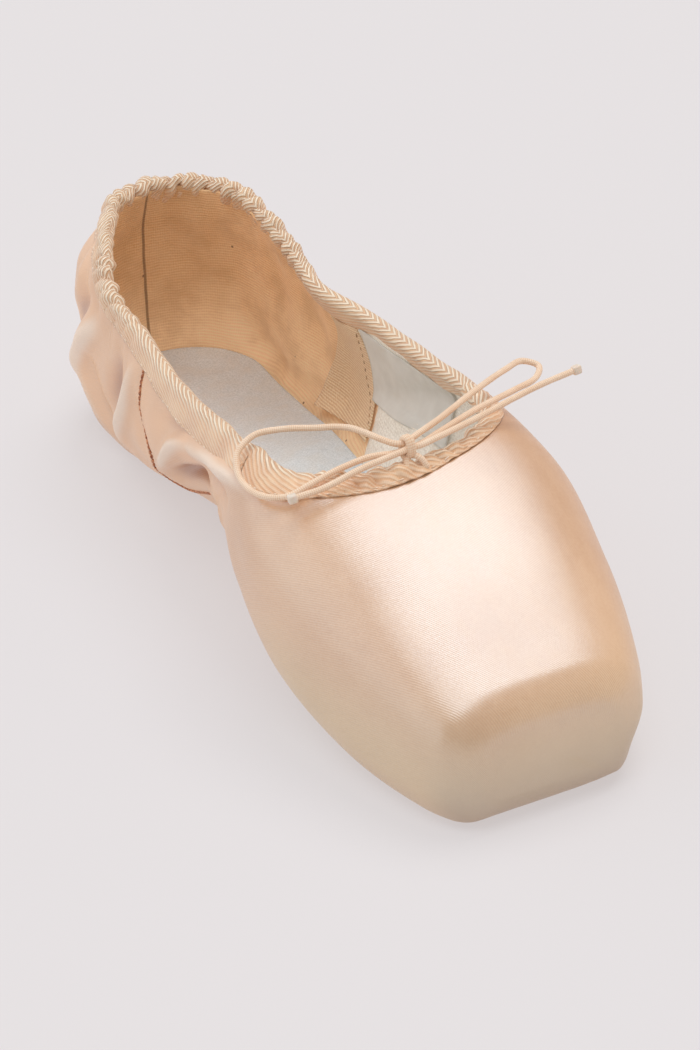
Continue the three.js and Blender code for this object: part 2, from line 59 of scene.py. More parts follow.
scene = bpy.context.scene
camera_data = bpy.data.cameras.new("camera")
camera_data.lens = CAMERA_LENS
camera_data.clip_end = 50
camera = bpy.data.objects.new("camera", camera_data)
scene.collection.objects.link(camera)
looking = (CAMERA_AIM - CAMERA_PLACE).to_track_quat("-Z", "Y").to_matrix().to_4x4()
camera.matrix_world = (
    Matrix.Translation(CAMERA_PLACE) @ looking @ Matrix.Rotation(CAMERA_ROLL, 4, "Z")
)
scene.camera = camera
print("camera", round((CAMERA_AIM - CAMERA_PLACE).length, 3), "m from what it aims at")

# %% [markdown]
# ## The form of the last
# A pointe shoe is built over a last. Its form could be sculpted, but here a short table of cross
# sections gives it: a distance behind the flat toe platform, and for each one a width, a height and the
# fullness of its curves. The same table made the shoe's solid, so every layer made here lies exactly
# where the solid's layer lies. Lengths are in millimetres in the tables and in metres in the meshes.

# %% Tables of the last
MM = 0.001
SECTIONS = [
    # at, half, crown, belly, tread, sole, top, under
    (0, 24.5, 31, 15.5, 18.5, 0.9, 3.4, 2.4),
    (14, 31.5, 37, 16, 25, 0.3, 3.4, 2.4),
    (42, 39.3, 48.3, 19, 29.5, 0, 3.3, 2.1),
    (70, 43, 56.6, 28, 27.5, 0, 3.3, 1.8),
    (92, 40.3, 61.5, 34, 22, 1.2, 3, 1.6),
    (118, 34.2, 66.5, 34, 15.5, 7, 2.7, 1.5),
    (148, 33, 69.5, 29.5, 14.5, 7.5, 2.4, 1.7),
    (180, 31.5, 72, 27, 19, 1.8, 2.3, 1.9),
    (198, 29.5, 73, 28, 21.5, 0, 2.3, 2),
    (235, 28.5, 75, 28, 22, 0, 2.3, 2.1),
]
COLLAR = [(97, 57.5), (118, 53.8), (148, 50.8), (180, 53.6), (208, 60), (235, 61)]
OUTSOLE = [
    (19, 18.5), (45, 22), (68, 21.5), (92, 16.5), (120, 11.5), (150, 11), (180, 15.5),
    (200, 18.5), (235, 18.5),
]


def smooth_column(rows, number):
    """A curve through one column of a table, by the distance in its first column. It never overshoots."""
    table = np.array(rows, float)
    at, value = table[:, 0], table[:, number]
    rise = np.diff(value) / np.diff(at)
    slope = np.zeros(len(at))
    slope[0], slope[-1] = rise[0], rise[-1]
    for i in range(1, len(at) - 1):
        if rise[i - 1] * rise[i] > 0:
            slope[i] = 2 * rise[i - 1] * rise[i] / (rise[i - 1] + rise[i])

    def curve(where):
        x = np.clip(np.asarray(where, float), at[0], at[-1])
        i = np.clip(np.searchsorted(at, x, side="left") - 1, 0, len(at) - 2)
        span = at[i + 1] - at[i]
        t = (x - at[i]) / span
        turn = t * t * (3 - 2 * t)
        lift = t * (1 - t) * span * (slope[i] * (1 - t) - slope[i + 1] * t)
        return value[i] * (1 - turn) + value[i + 1] * turn + lift

    return curve


half, crown, belly, tread, sole_line, top_fullness, under_fullness = (
    smooth_column(SECTIONS, k) for k in range(1, 8)
)
collar_high = smooth_column(COLLAR, 1)
outsole_table = smooth_column(OUTSOLE, 1)
print(f"the box is {2 * half(70):.0f} mm wide and the heel {crown(235):.0f} mm high on the last")

# %% Measures of the shoe
LENGTH = 235.0
TOE_Y = -LENGTH / 2 - 0.25
PLATFORM_EDGE, PLATFORM_LEAN, LEAN_REACH = 6.5, 0.13, 70.0
HEEL_CENTRE, HEEL_DEPTH = 207.5, 27.5
THROAT, THROAT_ROUND = 72.0, 24.0
SIDE_START = THROAT + THROAT_ROUND
BOX_WALL, SOFT_WALL, BOX_BACK, BOX_END = 3.0, 1.8, 80.0, 102.0
SOLE_FRONT, SOLE_ROUND, SOLE_THICK = 19.0, 16.0, 2.2
PLEAT_RISE, SEAT, RIM_MARGIN, SEAT_MARGIN = 0.9, 2.5, 2.8, 1.0
OPENING_FRONT, OPENING_INSET = 30.0, 5.0
HEEL_ARC = np.pi / 2 * HEEL_DEPTH
ALONG_END = HEEL_CENTRE + HEEL_ARC
print(f"from the platform to the back of the heel: {LENGTH:.0f} mm")

# %% [markdown]
# A place on the last is a pair of numbers. The first is how far along the shoe it is, and round the
# heel it follows the turn. The second goes round the section from the ridge to the middle underneath.
# The functions below turn such a pair into a point, and into the directions of the surface there.

# %% Surface of the last
def ease(value):
    t = np.clip(value, 0, 1)
    return t * t * (3 - 2 * t)


def quarter_round(t):
    return np.sqrt(1 - (1 - np.clip(t, 0, 1)) ** 2)


def heel_turn(along):
    return np.clip(along - HEEL_CENTRE, 0, None) / HEEL_ARC * np.pi / 2


def station_of(along):
    return np.where(along < HEEL_CENTRE, along, HEEL_CENTRE + HEEL_DEPTH * np.sin(heel_turn(along)))


def quarter(turn, fullness):
    angle = np.clip(turn, 0, 1) * np.pi / 2
    across, up = np.cos(angle), np.sin(angle)
    reach = (across**fullness + up**fullness) ** (-1 / fullness)
    return across * reach, up * reach


def outsole_half(along, margin=0.0):
    return (outsole_table(station_of(along)) + margin) * quarter_round(
        (along - SOLE_FRONT + margin) / SOLE_ROUND
    )


def section_point(along, around):
    """around: 0 at the ridge, 1 at the belly, 2 at the edge of the tread, 3 at the middle underneath."""
    station = station_of(along)
    wide, middle, flat = half(station), belly(station), tread(station)
    rim = sole_line(station) + PLEAT_RISE
    ax, az = quarter(1 - around, top_fullness(station))
    bx, bz = quarter(around - 1, under_fullness(station))
    x = np.where(
        around <= 1, wide * ax, np.where(around <= 2, flat + (wide - flat) * bx, flat * (3 - around))
    )
    rim_at, seat_at = outsole_half(along, RIM_MARGIN), outsole_half(along, SEAT_MARGIN)
    recess = np.where(rim_at > 0, np.clip((rim_at - x) / np.maximum(rim_at - seat_at, 1e-6), 0, 1), 0)
    z = np.where(
        around <= 1,
        middle + (crown(station) - middle) * az,
        np.where(
            around <= 2, middle - (middle - rim) * bz, rim + (SEAT - PLEAT_RISE) * recess
        ),
    )
    return x, z


def place(along, x, z):
    """Puts a section's point in the shoe: the rounded edge and lean of the platform, the turn of the heel."""
    turn = heel_turn(along)
    front = along < PLATFORM_EDGE
    inset = PLATFORM_EDGE * (
        1 - np.sin(np.arccos(np.clip(1 - along / PLATFORM_EDGE, -1, 1)))
    )
    inset = np.where(front, inset, 0)
    bottom = sole_line(0) + PLEAT_RISE
    middle = (crown(0) + bottom) / 2
    x = x * (1 - inset / half(0))
    z = np.where(front, middle + (z - middle) * (1 - inset / (crown(0) - middle)), z)
    lean = PLATFORM_LEAN * z * np.clip(1 - along / LEAN_REACH, 0, None) ** 1.5
    deep = HEEL_DEPTH / half(HEEL_CENTRE)
    y = np.where(along < HEEL_CENTRE, TOE_Y + along + lean, TOE_Y + HEEL_CENTRE + x * np.sin(turn) * deep)
    return np.stack([x * np.cos(turn), y, z], axis=-1)


def surface(along, around):
    x, z = section_point(along, around)
    return place(along, x, z)


def directions(along, around):
    """How the surface moves for a step along, and for a step round the section."""
    a0, a1 = np.maximum(1e-4, along - 0.05), np.minimum(ALONG_END, along + 0.05)
    b0, b1 = np.maximum(0, around - 0.002), np.minimum(3, around + 0.002)
    back = (surface(a1, around) - surface(a0, around)) / (a1 - a0)[..., None]
    down = (surface(along, b1) - surface(along, b0)) / (b1 - b0)[..., None]
    return back, down


def unit(vectors):
    return vectors / np.maximum(np.linalg.norm(vectors, axis=-1, keepdims=True), 1e-12)


def outward(along, around):
    back, down = directions(along, around)
    n = -np.cross(back, down)
    edge = (around <= 0) | (around >= 3) | (along >= ALONG_END - 1e-6)
    n[..., 0] = np.where(edge, 0, n[..., 0])
    n = unit(n)
    face = unit(np.array([0, -1, PLATFORM_LEAN]))
    return np.where((along <= 1e-3)[..., None], face, n)


def wall(along, around):
    """The upper's thickness: stiff and thick in the box, thin in the quarter and underneath."""
    box = 1 - ease((along - BOX_BACK) / (BOX_END - BOX_BACK))
    above = 1 - ease((around - 1.4) / 0.6)
    return SOFT_WALL + (BOX_WALL - SOFT_WALL) * box * above


def halving(low, far, steps, before):
    """Closes in, between low and far, on the place where before stops being true."""
    for _ in range(steps):
        middle = (low + far) / 2
        further = before(middle)
        low, far = np.where(further, middle, low), np.where(further, far, middle)
    return low, far


def around_at_height(along, high):
    above = lambda around: section_point(along, around)[1] > high
    low, far = halving(np.zeros_like(along), np.ones_like(along), 40, above)
    return (low + far) / 2


SIDE_AROUND = float(around_at_height(np.array([SIDE_START]), collar_high(SIDE_START))[0])
print(f"the collar leaves the ridge {THROAT:.0f} mm behind the platform")


def collar_around(along):
    side = around_at_height(along, collar_high(station_of(along)))
    rounding = SIDE_AROUND * quarter_round((along - THROAT) / THROAT_ROUND)
    return np.where(along <= THROAT, 0, np.where(along < SIDE_START, rounding, side))


def bottom_around(along):
    rounded = quarter_round((along - OPENING_FRONT) / SOLE_ROUND)
    open_half = (outsole_table(station_of(along)) - OPENING_INSET) * rounded
    return np.where(along <= OPENING_FRONT, 3, 3 - open_half / tread(station_of(along)))

# %% [markdown]
# ## Cloth from a grid
# A flat grid is the simplest sheet of cloth. It is made with one operator, and a function then moves
# its points to where the cloth lies on the last and lays its UV map, so that a weave follows the
# cloth. A cloth simulation could drape it too, but would never fall the same way twice. Where edges
# meet, the doubles are merged, and a Solidify modifier gives the sheet a thickness.

# %% Sheets
SETTLED = [
    # centre from above, reach, height where the move begins and where it is whole, move
    ((28, 54), 15, 30, 50, (-3.4, 0, -1.7)),
    ((-20, 99), 12, 47, 58, (3.7, -0.6, 0)),
    ((-25.5, 73), 14, 44, 56, (-3.2, 0, -0.4)),
    ((28, -113), 12, 18, 5, (-2.8, 0.6, 1.0)),
]


def settled(points):
    """Points in millimetres after the shoe has been pushed a little out of the last's even form. The
    collar dips in on the right, and goes in and out on the left of the heel, and one lower corner of
    the platform is rounder. Every layer moves by the same amount."""
    moved = points.copy()
    for (x, y), reach, low, high, move in SETTLED:
        away = np.hypot(points[..., 0] - x, points[..., 1] - y)
        share = np.exp(-((away / reach) ** 2)) * ease((points[..., 2] - low) / (high - low))
        moved += share[..., None] * np.array(move)
    return moved


def as_mesh(name, bm):
    """The bmesh as a new mesh of that name."""
    mesh = bpy.data.meshes.new(name)
    bm.to_mesh(mesh)
    bm.free()
    return mesh


def grid_mesh(name, columns, rows, shape):
    """A grid whose points go where shape says, row by row in millimetres, with its UV map in metres. A
    third table, if there is one, is kept as the attribute fold: how far each point's folds raise it."""
    bm = bmesh.new()
    bmesh.ops.create_grid(bm, x_segments=columns, y_segments=rows, size=0.5)
    mesh = as_mesh(name, bm)
    flat = np.zeros(len(mesh.vertices) * 3)
    mesh.vertices.foreach_get("co", flat)
    flat = flat.reshape(-1, 3)
    spot = [
        np.rint((flat[:, k] - flat[:, k].min()) / np.ptp(flat[:, k]) * count).astype(int)
        for k, count in ((0, columns), (1, rows))
    ]
    points, weave, *fold = (table[spot[1], spot[0]] for table in shape(columns, rows))
    mesh.vertices.foreach_set("co", (settled(points) * MM).ravel())
    corner = np.zeros(len(mesh.loops), np.int32)
    mesh.loops.foreach_get("vertex_index", corner)
    layer = mesh.uv_layers.new(name="weave")
    layer.data.foreach_set("uv", (weave[corner] * MM).ravel().astype(np.float32))
    if fold:
        kept = mesh.attributes.new("fold", "FLOAT", "POINT")
        kept.data.foreach_set("value", fold[0].astype(np.float32))
    return mesh


def joined(name, meshes):
    """One mesh from several, with the points that fall together merged and the faces turned outwards."""
    bm = bmesh.new()
    for mesh in meshes:
        bm.from_mesh(mesh)
        bpy.data.meshes.remove(mesh)
    bmesh.ops.remove_doubles(bm, verts=bm.verts, dist=2e-6)
    bmesh.ops.dissolve_degenerate(bm, edges=bm.edges, dist=1e-7)
    bmesh.ops.recalc_face_normals(bm, faces=bm.faces)
    return as_mesh(name, bm)


def face_away(mesh, inside, turned=False):
    """Turns an open sheet's faces away from a point in millimetres, or towards it if turned."""
    bm = bmesh.new()
    bm.from_mesh(mesh)
    bm.faces.ensure_lookup_table()
    core = Vector(inside) * MM
    away = sum((f.calc_center_median() - core).dot(f.normal) * f.calc_area() for f in bm.faces)
    if (away < 0) != turned:
        bmesh.ops.reverse_faces(bm, faces=bm.faces)
    bm.to_mesh(mesh)
    bm.free()


# %% [markdown]
# Each finished piece is linked, rides on the shoe's one body and takes the place of the plain solid
# that stood for it. Its slot says which of the shoe's materials it is made of.


def show(name, mesh, finish, replaces=(), thick=0.0):
    """Links a finished piece, gives it its material and slot, and lets it ride on the shoe."""
    piece = bpy.data.objects.new(name, mesh)
    scene.collection.objects.link(piece)
    mesh.materials.append(finish)
    mesh.shade_smooth()
    if thick:
        thickness = piece.modifiers.new("thickness", "SOLIDIFY")
        thickness.thickness = thick * MM
        thickness.offset = -1.0
        thickness.use_even_offset = False
    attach(piece, "root")
    if replaces:
        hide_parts(*replaces)
    count = sum(len(p.vertices) - 2 for p in mesh.polygons) * (2 if thick else 1)
    print(f"{name}: {count} triangles")
    return piece


# %% [markdown]
# ## Unevenness
# Cloth is never perfectly even. A few long waves in different directions, added together, give a soft
# unevenness that is the same each time, because the random numbers start from a fixed seed.

# %% Waves
def waves(points, size, seed, count=9):
    """A smooth uneven value of about -1 to 1 at each point, whose bumps are about size millimetres."""
    draw = np.random.default_rng(seed)
    total = np.zeros(points.shape[:-1])
    for _ in range(count):
        way = unit(draw.normal(size=points.shape[-1]))
        length = size * draw.uniform(1.2, 3.0)
        total += np.sin(points @ way * 2 * np.pi / length + draw.uniform(0, 2 * np.pi))
    return total / np.sqrt(count * 2)


def hump(distance, wide):
    return np.exp(-((distance / wide) ** 2))


# %% [markdown]
# ## Shader maths
# A pattern is worked out in a material's nodes. The class below wraps one socket, so that an ordinary
# Python expression adds the Math nodes that it needs. Every other node comes from one method.

# %% Colours
def paint(hexcode):
    """A colour from its web code, as the linear numbers that shaders take."""
    code = [int(hexcode[i : i + 2], 16) / 255 for i in (0, 2, 4)]
    return (*[c / 12.92 if c <= 0.04045 else ((c + 0.055) / 1.055) ** 2.4 for c in code], 1.0)


# %% Numbers in a shader
TURN = 2 * np.pi


class Reading:
    """A number that nodes work out at each point of a surface."""

    def __init__(self, finish, socket):
        self.finish, self.socket = finish, socket

    def _with(self, operation, *others):
        return self.finish.math(operation, self, *others)

    def __add__(self, other):
        return self._with("ADD", other)

    def __sub__(self, other):
        return self._with("SUBTRACT", other)

    def __mul__(self, other):
        return self._with("MULTIPLY", other)

    def __rsub__(self, other):
        return self.finish.math("SUBTRACT", other, self)

    __radd__ = __add__
    __rmul__ = __mul__

    def sine(self):
        return self._with("SINE")

    def size(self):
        return self._with("ABSOLUTE")

    def ribs(self, pitch):
        """A wave from 0 to 1 that comes back every pitch."""
        return (self * (TURN / pitch)).sine() * 0.5 + 0.5

    def step(self, low, high, to_low=0.0, to_high=1.0):
        """0 below low and 1 above high, with a soft change between them."""
        node = self.finish.node(
            "ShaderNodeMapRange",
            {"interpolation_type": "SMOOTHSTEP"},
            {"Value": self, "From Min": low, "From Max": high, "To Min": to_low, "To Max": to_high},
        )
        return Reading(self.finish, node.outputs["Result"])


# %% Finish of a piece
class Finish:
    """A material, its Principled shader and the nodes that feed it."""

    def __init__(self, name, **constants):
        self.material = bpy.data.materials.new(name)
        self.material.use_nodes = True
        self.tree = self.material.node_tree
        self.shader = self.tree.nodes["Principled BSDF"]
        for socket, value in constants.items():
            self.shader.inputs[socket.replace("_", " ")].default_value = value

    def node(self, kind, settings=None, sockets=None):
        made = self.tree.nodes.new(kind)
        for key, value in (settings or {}).items():
            setattr(made, key, value)
        for key, value in (sockets or {}).items():
            socket = made.inputs[key]
            if isinstance(value, Reading):
                value = value.socket
            if isinstance(value, bpy.types.NodeSocket):
                self.tree.links.new(value, socket)
            else:
                socket.default_value = value
        return made

    def math(self, operation, *values):
        made = self.node("ShaderNodeMath", {"operation": operation}, dict(enumerate(values)))
        return Reading(self, made.outputs[0])

    def blend(self, share, first, second):
        """first where share is 0 and second where it is 1. Each is a socket or a colour's web code."""
        first, second = (paint(c) if isinstance(c, str) else c for c in (first, second))
        made = self.node("ShaderNodeMix", {"data_type": "RGBA"}, {0: share, 6: first, 7: second})
        return made.outputs[2]

    def weave(self):
        """The two directions of the piece's own UV map, in metres."""
        place = self.node("ShaderNodeUVMap", {"uv_map": "weave"})
        parts = self.node("ShaderNodeSeparateXYZ", None, {0: place.outputs["UV"]})
        return Reading(self, parts.outputs["X"]), Reading(self, parts.outputs["Y"])

    def fold(self):
        """How far the folds raise a point, in millimetres."""
        node = self.node("ShaderNodeAttribute", {"attribute_name": "fold"})
        return Reading(self, node.outputs["Fac"])

    def place(self):
        """Where a point is on the shoe, in metres."""
        return self.node("ShaderNodeTexCoord").outputs["Object"]

    def axes(self):
        parts = self.node("ShaderNodeSeparateXYZ", None, {0: self.place()})
        return [Reading(self, parts.outputs[axis]) for axis in "XYZ"]

    def noise(self, size, detail=2.0, rough=0.5, stretch=None):
        """Cloudy unevenness from 0 to 1, whose clouds are about size millimetres."""
        vector = self.place()
        if stretch:
            turned = self.node("ShaderNodeMapping", None, {"Vector": vector, "Scale": stretch})
            vector = turned.outputs[0]
        made = self.node(
            "ShaderNodeTexNoise",
            None,
            {"Vector": vector, "Scale": 1000 / size, "Detail": detail, "Roughness": rough},
        )
        return Reading(self, made.outputs["Fac"])

    def spots(self, scale):
        """How far a point is from the middle of the nearest of many scattered spots."""
        made = self.node(
            "ShaderNodeTexVoronoi", {"feature": "F1"}, {"Vector": self.place(), "Scale": scale}
        )
        return Reading(self, made.outputs["Distance"])

    def feed(self, name, source):
        socket = source.socket if isinstance(source, Reading) else source
        self.tree.links.new(socket, self.shader.inputs[name])

    def bump(self, height, distance, strength=1.0):
        """Raises the surface by height times distance, in millimetres."""
        made = self.node(
            "ShaderNodeBump",
            None,
            {"Height": height, "Distance": distance * MM, "Strength": strength},
        )
        self.tree.links.new(made.outputs["Normal"], self.shader.inputs["Normal"])


# %% [markdown]
# ## Drawstring bow
# One elastic cord runs inside the tape, round the whole collar. Its two ends leave the tape at the
# middle of the throat and are tied in a bow: a knot, two loops and two free ends. Each cord is a tube
# swept along a smooth curve through a few points, the same points that gave the shoe's solid cords.
# It could be a curve with a round bevel, but here the tube is a grid that is rolled up, so its UV map
# runs along the cord and the braid follows it.

# %% Routes of the cords
CORD = 1.6
KNOT = np.array([0, -43.8, 62])
LOOP_LEFT = [
    (-2.7, -42.4, 63), (-9.5, -31, 63.5), (-16, -25.5, 62.5), (-22.7, -20.5, 61.5),
    (-29.5, -19, 61), (-35, -21, 58.5), (-37, -25.5, 55.8), (-37.2, -31.5, 55.1),
    (-35.4, -37.6, 55.5), (-31.5, -41.6, 56.6), (-26.5, -42.4, 58.4), (-19, -42.4, 60.3),
    (-9.3, -42.2, 61.2), (-2.7, -43.2, 60.8),
]
END_LEFT = [(-2.7, -45.4, 62.2), (-14, -46, 61.2), (-24, -46.8, 59.6), (-31.7, -46.2, 58.8)]
LOOP_RIGHT = [
    (2.7, -42.1, 63.2), (11, -38.8, 63.6), (25, -31, 63.2), (38.5, -22.8, 61.3),
    (44.6, -19.8, 60.2), (48, -22, 59), (45, -26.2, 58.6), (37, -29.6, 59.2),
    (23, -35.4, 60.9), (10, -41, 61.5), (2.7, -43, 60.9),
]
END_RIGHT = [
    (2.7, -45.1, 62.3), (8, -44.4, 62.6), (20.5, -40.6, 62), (36, -35.5, 61.5),
    (43, -34.2, 61.8), (52, -33.4, 62.3),
]
print("points of the four cords:", *(len(way) for way in (LOOP_LEFT, LOOP_RIGHT, END_LEFT, END_RIGHT)))


# %% Smooth lines
def run_along(line):
    """The distance along a line at each of its points."""
    return np.concatenate([[0], np.cumsum(np.linalg.norm(np.diff(line, axis=0), axis=1))])


def curve_through(points, step=0.4):
    """A smooth line through the points, with a point every step millimetres."""
    p = np.array(points, float)
    p = np.vstack([2 * p[0] - p[1], p, 2 * p[-1] - p[-2]])
    line = []
    for a, b, c, d in zip(p, p[1:], p[2:], p[3:]):
        gaps = [np.sqrt(np.linalg.norm(q - r)) for q, r in ((b, a), (c, b), (d, c))]
        out = (b - a) / gaps[0] - (c - a) / (gaps[0] + gaps[1]) + (c - b) / gaps[1]
        into = (c - b) / gaps[1] - (d - b) / (gaps[1] + gaps[2]) + (d - c) / gaps[2]
        out, into = out * gaps[1], into * gaps[1]
        t = np.linspace(0, 1, 41)[:-1, None]
        line.append(
            (2 * t**3 - 3 * t**2 + 1) * b
            + (t**3 - 2 * t**2 + t) * out
            + (3 * t**2 - 2 * t**3) * c
            + (t**3 - t**2) * into
        )
    line = np.vstack([*line, p[-2][None]])
    return evenly(line, step)


def evenly(line, step):
    """The same line again with its points the same distance apart."""
    run = run_along(line)
    at = np.linspace(0, run[-1], max(2, round(run[-1] / step) + 1))
    return np.stack([np.interp(at, run, line[:, k]) for k in range(3)], axis=1)


def frames_along(line):
    """Two directions square to the line at each of its points, which turn as little as they can."""
    along = unit(np.gradient(line, axis=0))
    side = unit(np.cross(along[0], [0.1, 0.2, 1]))
    sides = []
    for direction in along:
        side = unit(side - direction * (side @ direction))
        sides.append(side)
    sides = np.array(sides)
    return along, sides, np.cross(along, sides)


# %% Cord tubes
def cord_tube(name, line, swell=None):
    """A closed tube of the cord's thickness along the line, with rounded ends."""
    run = run_along(line)
    along, side, up = frames_along(line)
    cap = np.array([0, 0.35, 0.66, 0.88])
    past_end = CORD / 2 * np.sqrt(1 - cap**2)
    first = line[0] - along[0] * past_end[:, None]
    last = line[-1] + along[-1] * past_end[::-1, None]
    middle = np.vstack([first, line, last])
    wide = np.concatenate([cap, np.ones(len(line)), cap[::-1]]) * CORD / 2
    pad = lambda rows: np.vstack([[rows[0]] * len(cap), rows, [rows[-1]] * len(cap)])
    side, up = pad(side), pad(up)
    run = np.concatenate([run[0] - past_end, run, run[-1] + past_end[::-1]])

    def shape(columns, _):
        turn = np.linspace(0, TURN, columns + 1)
        girth = wide[:, None] * np.ones_like(turn)
        if swell is not None:
            girth = girth * swell(run[:, None], turn[None, :])
        across, over = np.cos(turn)[None, :, None], np.sin(turn)[None, :, None]
        ring = across * side[:, None] + over * up[:, None]
        weave = np.stack(np.broadcast_arrays(turn[None, :] * CORD / 2, run[:, None]), axis=-1)
        return middle[:, None] + ring * girth[..., None], weave

    return joined(name, [grid_mesh(name, 14, len(middle) - 1, shape)])


# %% [markdown]
# ## Finish of the drawstring
# The cord is a rubber thread in a thin braided sleeve of peach cotton. Two sets of fine ridges cross
# on it, and between them it is a little darker. Its melted tips are pale and smoother.

# %% Cord finish
def braid_finish():
    finish = Finish("cord braid", Roughness=0.62, Sheen_Weight=0.25)
    around, run = finish.weave()
    right = (run * (TURN / 0.0011) + around * (TURN / 0.00084)).sine()
    left = (run * (TURN / 0.0011) - around * (TURN / 0.00084)).sine()
    strands = (right * left) * 0.5 + 0.5
    cloud = finish.noise(6)
    tone = (strands * 0.55 + cloud * 0.45).step(0.15, 0.85)
    finish.feed("Base Color", finish.blend(tone, "EAC09A", "FFEBD4"))
    finish.feed("Roughness", cloud * 0.12 + 0.55)
    finish.bump(strands, 0.07, 0.8)
    return finish.material


def tip_finish():
    finish = Finish("melted tip", Roughness=0.35, Subsurface_Weight=0.1)
    cloud = finish.noise(1.2)
    finish.feed("Base Color", finish.blend(cloud, "E2C8B0", "F7EBDD"))
    finish.bump(cloud, 0.15)
    return finish.material


cord_finish, tip_material = braid_finish(), tip_finish()
print("finishes:", cord_finish.name, "and", tip_material.name)


# %% [markdown]
# The first cord of each pair is a loop, which goes back into the knot, and the second a free end,
# which stops in a melted tip: a small cube with well rounded edges, turned to face along the cord.

# %% Bow
def into_knot(points, both=True):
    """The route with its first point, and its last if both, led on into the knot."""
    p = np.array(points, float)
    lead = lambda end: KNOT + (end - KNOT) * [-0.1, 0.5, 0.5]
    return np.vstack([lead(p[0]), p, lead(p[-1])]) if both else np.vstack([lead(p[0]), p])


def bow_cord(name, points, node, both):
    """One stretch of the cord, which takes the place of its part of the frame."""
    line = curve_through(into_knot(points, both))
    swell = lambda run, turn: 1 + 0.015 * np.sin(run * 5.7 + turn * 2) + 0.02 * np.sin(run * 0.9)
    piece = show(name, cord_tube(name, line, swell), cord_finish, [node])


def melted_tip(name, line):
    """The sealed end of a cord: a small cushion of melted braid, a little wider than the cord."""
    along, side, up = (rows[-1] for rows in frames_along(line))
    turn = Matrix((side, up, along)).transposed().to_4x4()
    bm = bmesh.new()
    bmesh.ops.create_cube(bm, size=1, matrix=Matrix.Diagonal((2.1, 2.3, 2.4, 1)))
    bmesh.ops.bevel(
        bm, geom=bm.edges, offset=0.55, segments=4, profile=0.5, affect="EDGES", material=-1
    )
    bmesh.ops.transform(bm, matrix=Matrix.Translation(line[-1] + along * 0.6) @ turn, verts=bm.verts)
    bmesh.ops.scale(bm, vec=(MM, MM, MM), verts=bm.verts)
    return show(name, as_mesh(name, bm), tip_material)


tips = [
    melted_tip("tip_left", curve_through(into_knot(END_LEFT, False))),
    melted_tip("tip_right", curve_through(into_knot(END_RIGHT, False))),
]
bow_cord("bow_loop_left", LOOP_LEFT, "loop_left", True)
bow_cord("bow_loop_right", LOOP_RIGHT, "loop_right", True)
bow_cord("bow_end_left", END_LEFT, "end_left", False)
bow_cord("bow_end_right", END_RIGHT, "end_right", False)


# %% [markdown]
# The knot is the same cord, wound twice round the bundle of loops and ends, and its two tails go down
# into the tape. A short screw line gives the winding, and the tube does the rest.

# %% Knot
def knot_line():
    turns, half_wide, tall, deep = 2.15, 0.85, 2.55, 1.85
    angle = np.linspace(-0.55 * np.pi, -0.55 * np.pi + turns * TURN, 90)
    share = np.linspace(-1, 1, len(angle))
    winding = np.stack([share * half_wide, np.cos(angle) * deep, np.sin(angle) * tall], axis=1)
    winding[:, 0] += 0.15 * np.sin(angle)
    tail_in = [(-2.2, -47.6, 57.6), (-1.8, -46.6, 58.8), (-1.2, -45.4, 59.6)]
    tail_out = [(1.3, -45.9, 60.2), (2.4, -46.9, 59.2), (3.0, -47.8, 57.8)]
    body = winding[::6] + KNOT
    return curve_through(np.vstack([tail_in, body, tail_out]), 0.3)


show("bow_knot", cord_tube("bow_knot", knot_line()), cord_finish, ["knot"])

# %% [markdown]
# ## Rows of the upper
# Every layer of the upper is laid out the same way: two side grids that meet on the middle of the
# shoe. Their rows are cross sections, close together where the form turns quickly, and their columns
# go from the collar edge, or the ridge of the vamp, down to the bottom edge.

# %% Rows and columns
SIDES = ((-1, "left"), (1, "right"))


def mirror(side):
    """What turns a point of the right half, side 1, into a point of that side."""
    return np.array([side, 1, 1])


def meet_at_middle(points, x, along):
    """Puts the points where the two sides meet exactly on the middle."""
    middle = (np.abs(x) < 1e-6) | (along >= ALONG_END - 1e-6)
    points[..., 0] = np.where(middle, 0, points[..., 0])


def runs(*parts):
    """Distances in several parts: (from, to, steps, whether they start close together)."""
    out = []
    for low, high, count, slow in parts:
        t = np.linspace(0, 1, count + 1)[:-1]
        out.append(low + (high - low) * (1 - np.cos(t * np.pi / 2) if slow else t))
    return np.concatenate([*out, [parts[-1][1]]])


def section_rows(fine=1.0):
    """Rows of an upper's layer. The first ones, below 0, shrink the flat platform to its middle."""
    n = lambda count: max(2, round(count * fine))
    return runs(
        (-1, 0, n(12), False),
        (0, PLATFORM_EDGE, n(12), True),
        (PLATFORM_EDGE, THROAT, n(60), False),
        (THROAT, SIDE_START, n(40), True),
        (SIDE_START, HEEL_CENTRE, n(96), False),
        (HEEL_CENTRE, ALONG_END, n(40), False),
    )


def section_columns(along, count):
    """Places round each section, evenly spread over the top, the side and the underneath."""
    top = collar_around(along)
    stops = np.array([0, 0.45, 0.79, 1])
    marks = np.stack([top, np.ones_like(top), np.full_like(top, 2), bottom_around(along)], axis=1)
    return np.stack([np.interp(np.linspace(0, 1, count + 1), stops, row) for row in marks])


def run_across(points):
    """How far each point of a row is from the row's first point, over the surface."""
    gaps = np.linalg.norm(np.diff(points, axis=1), axis=2)
    return np.concatenate([np.zeros((len(points), 1)), np.cumsum(gaps, axis=1)], axis=1)


def ridge_to_edge(along):
    """Length over the surface from the ridge to the collar edge."""
    share = np.linspace(0, 1, 30)
    line = surface(along[:, None] * np.ones_like(share), collar_around(along)[:, None] * share)
    return run_across(line)[:, -1]


FACE_REACH = 14.0  # millimetres of weave from the platform's edge to its middle


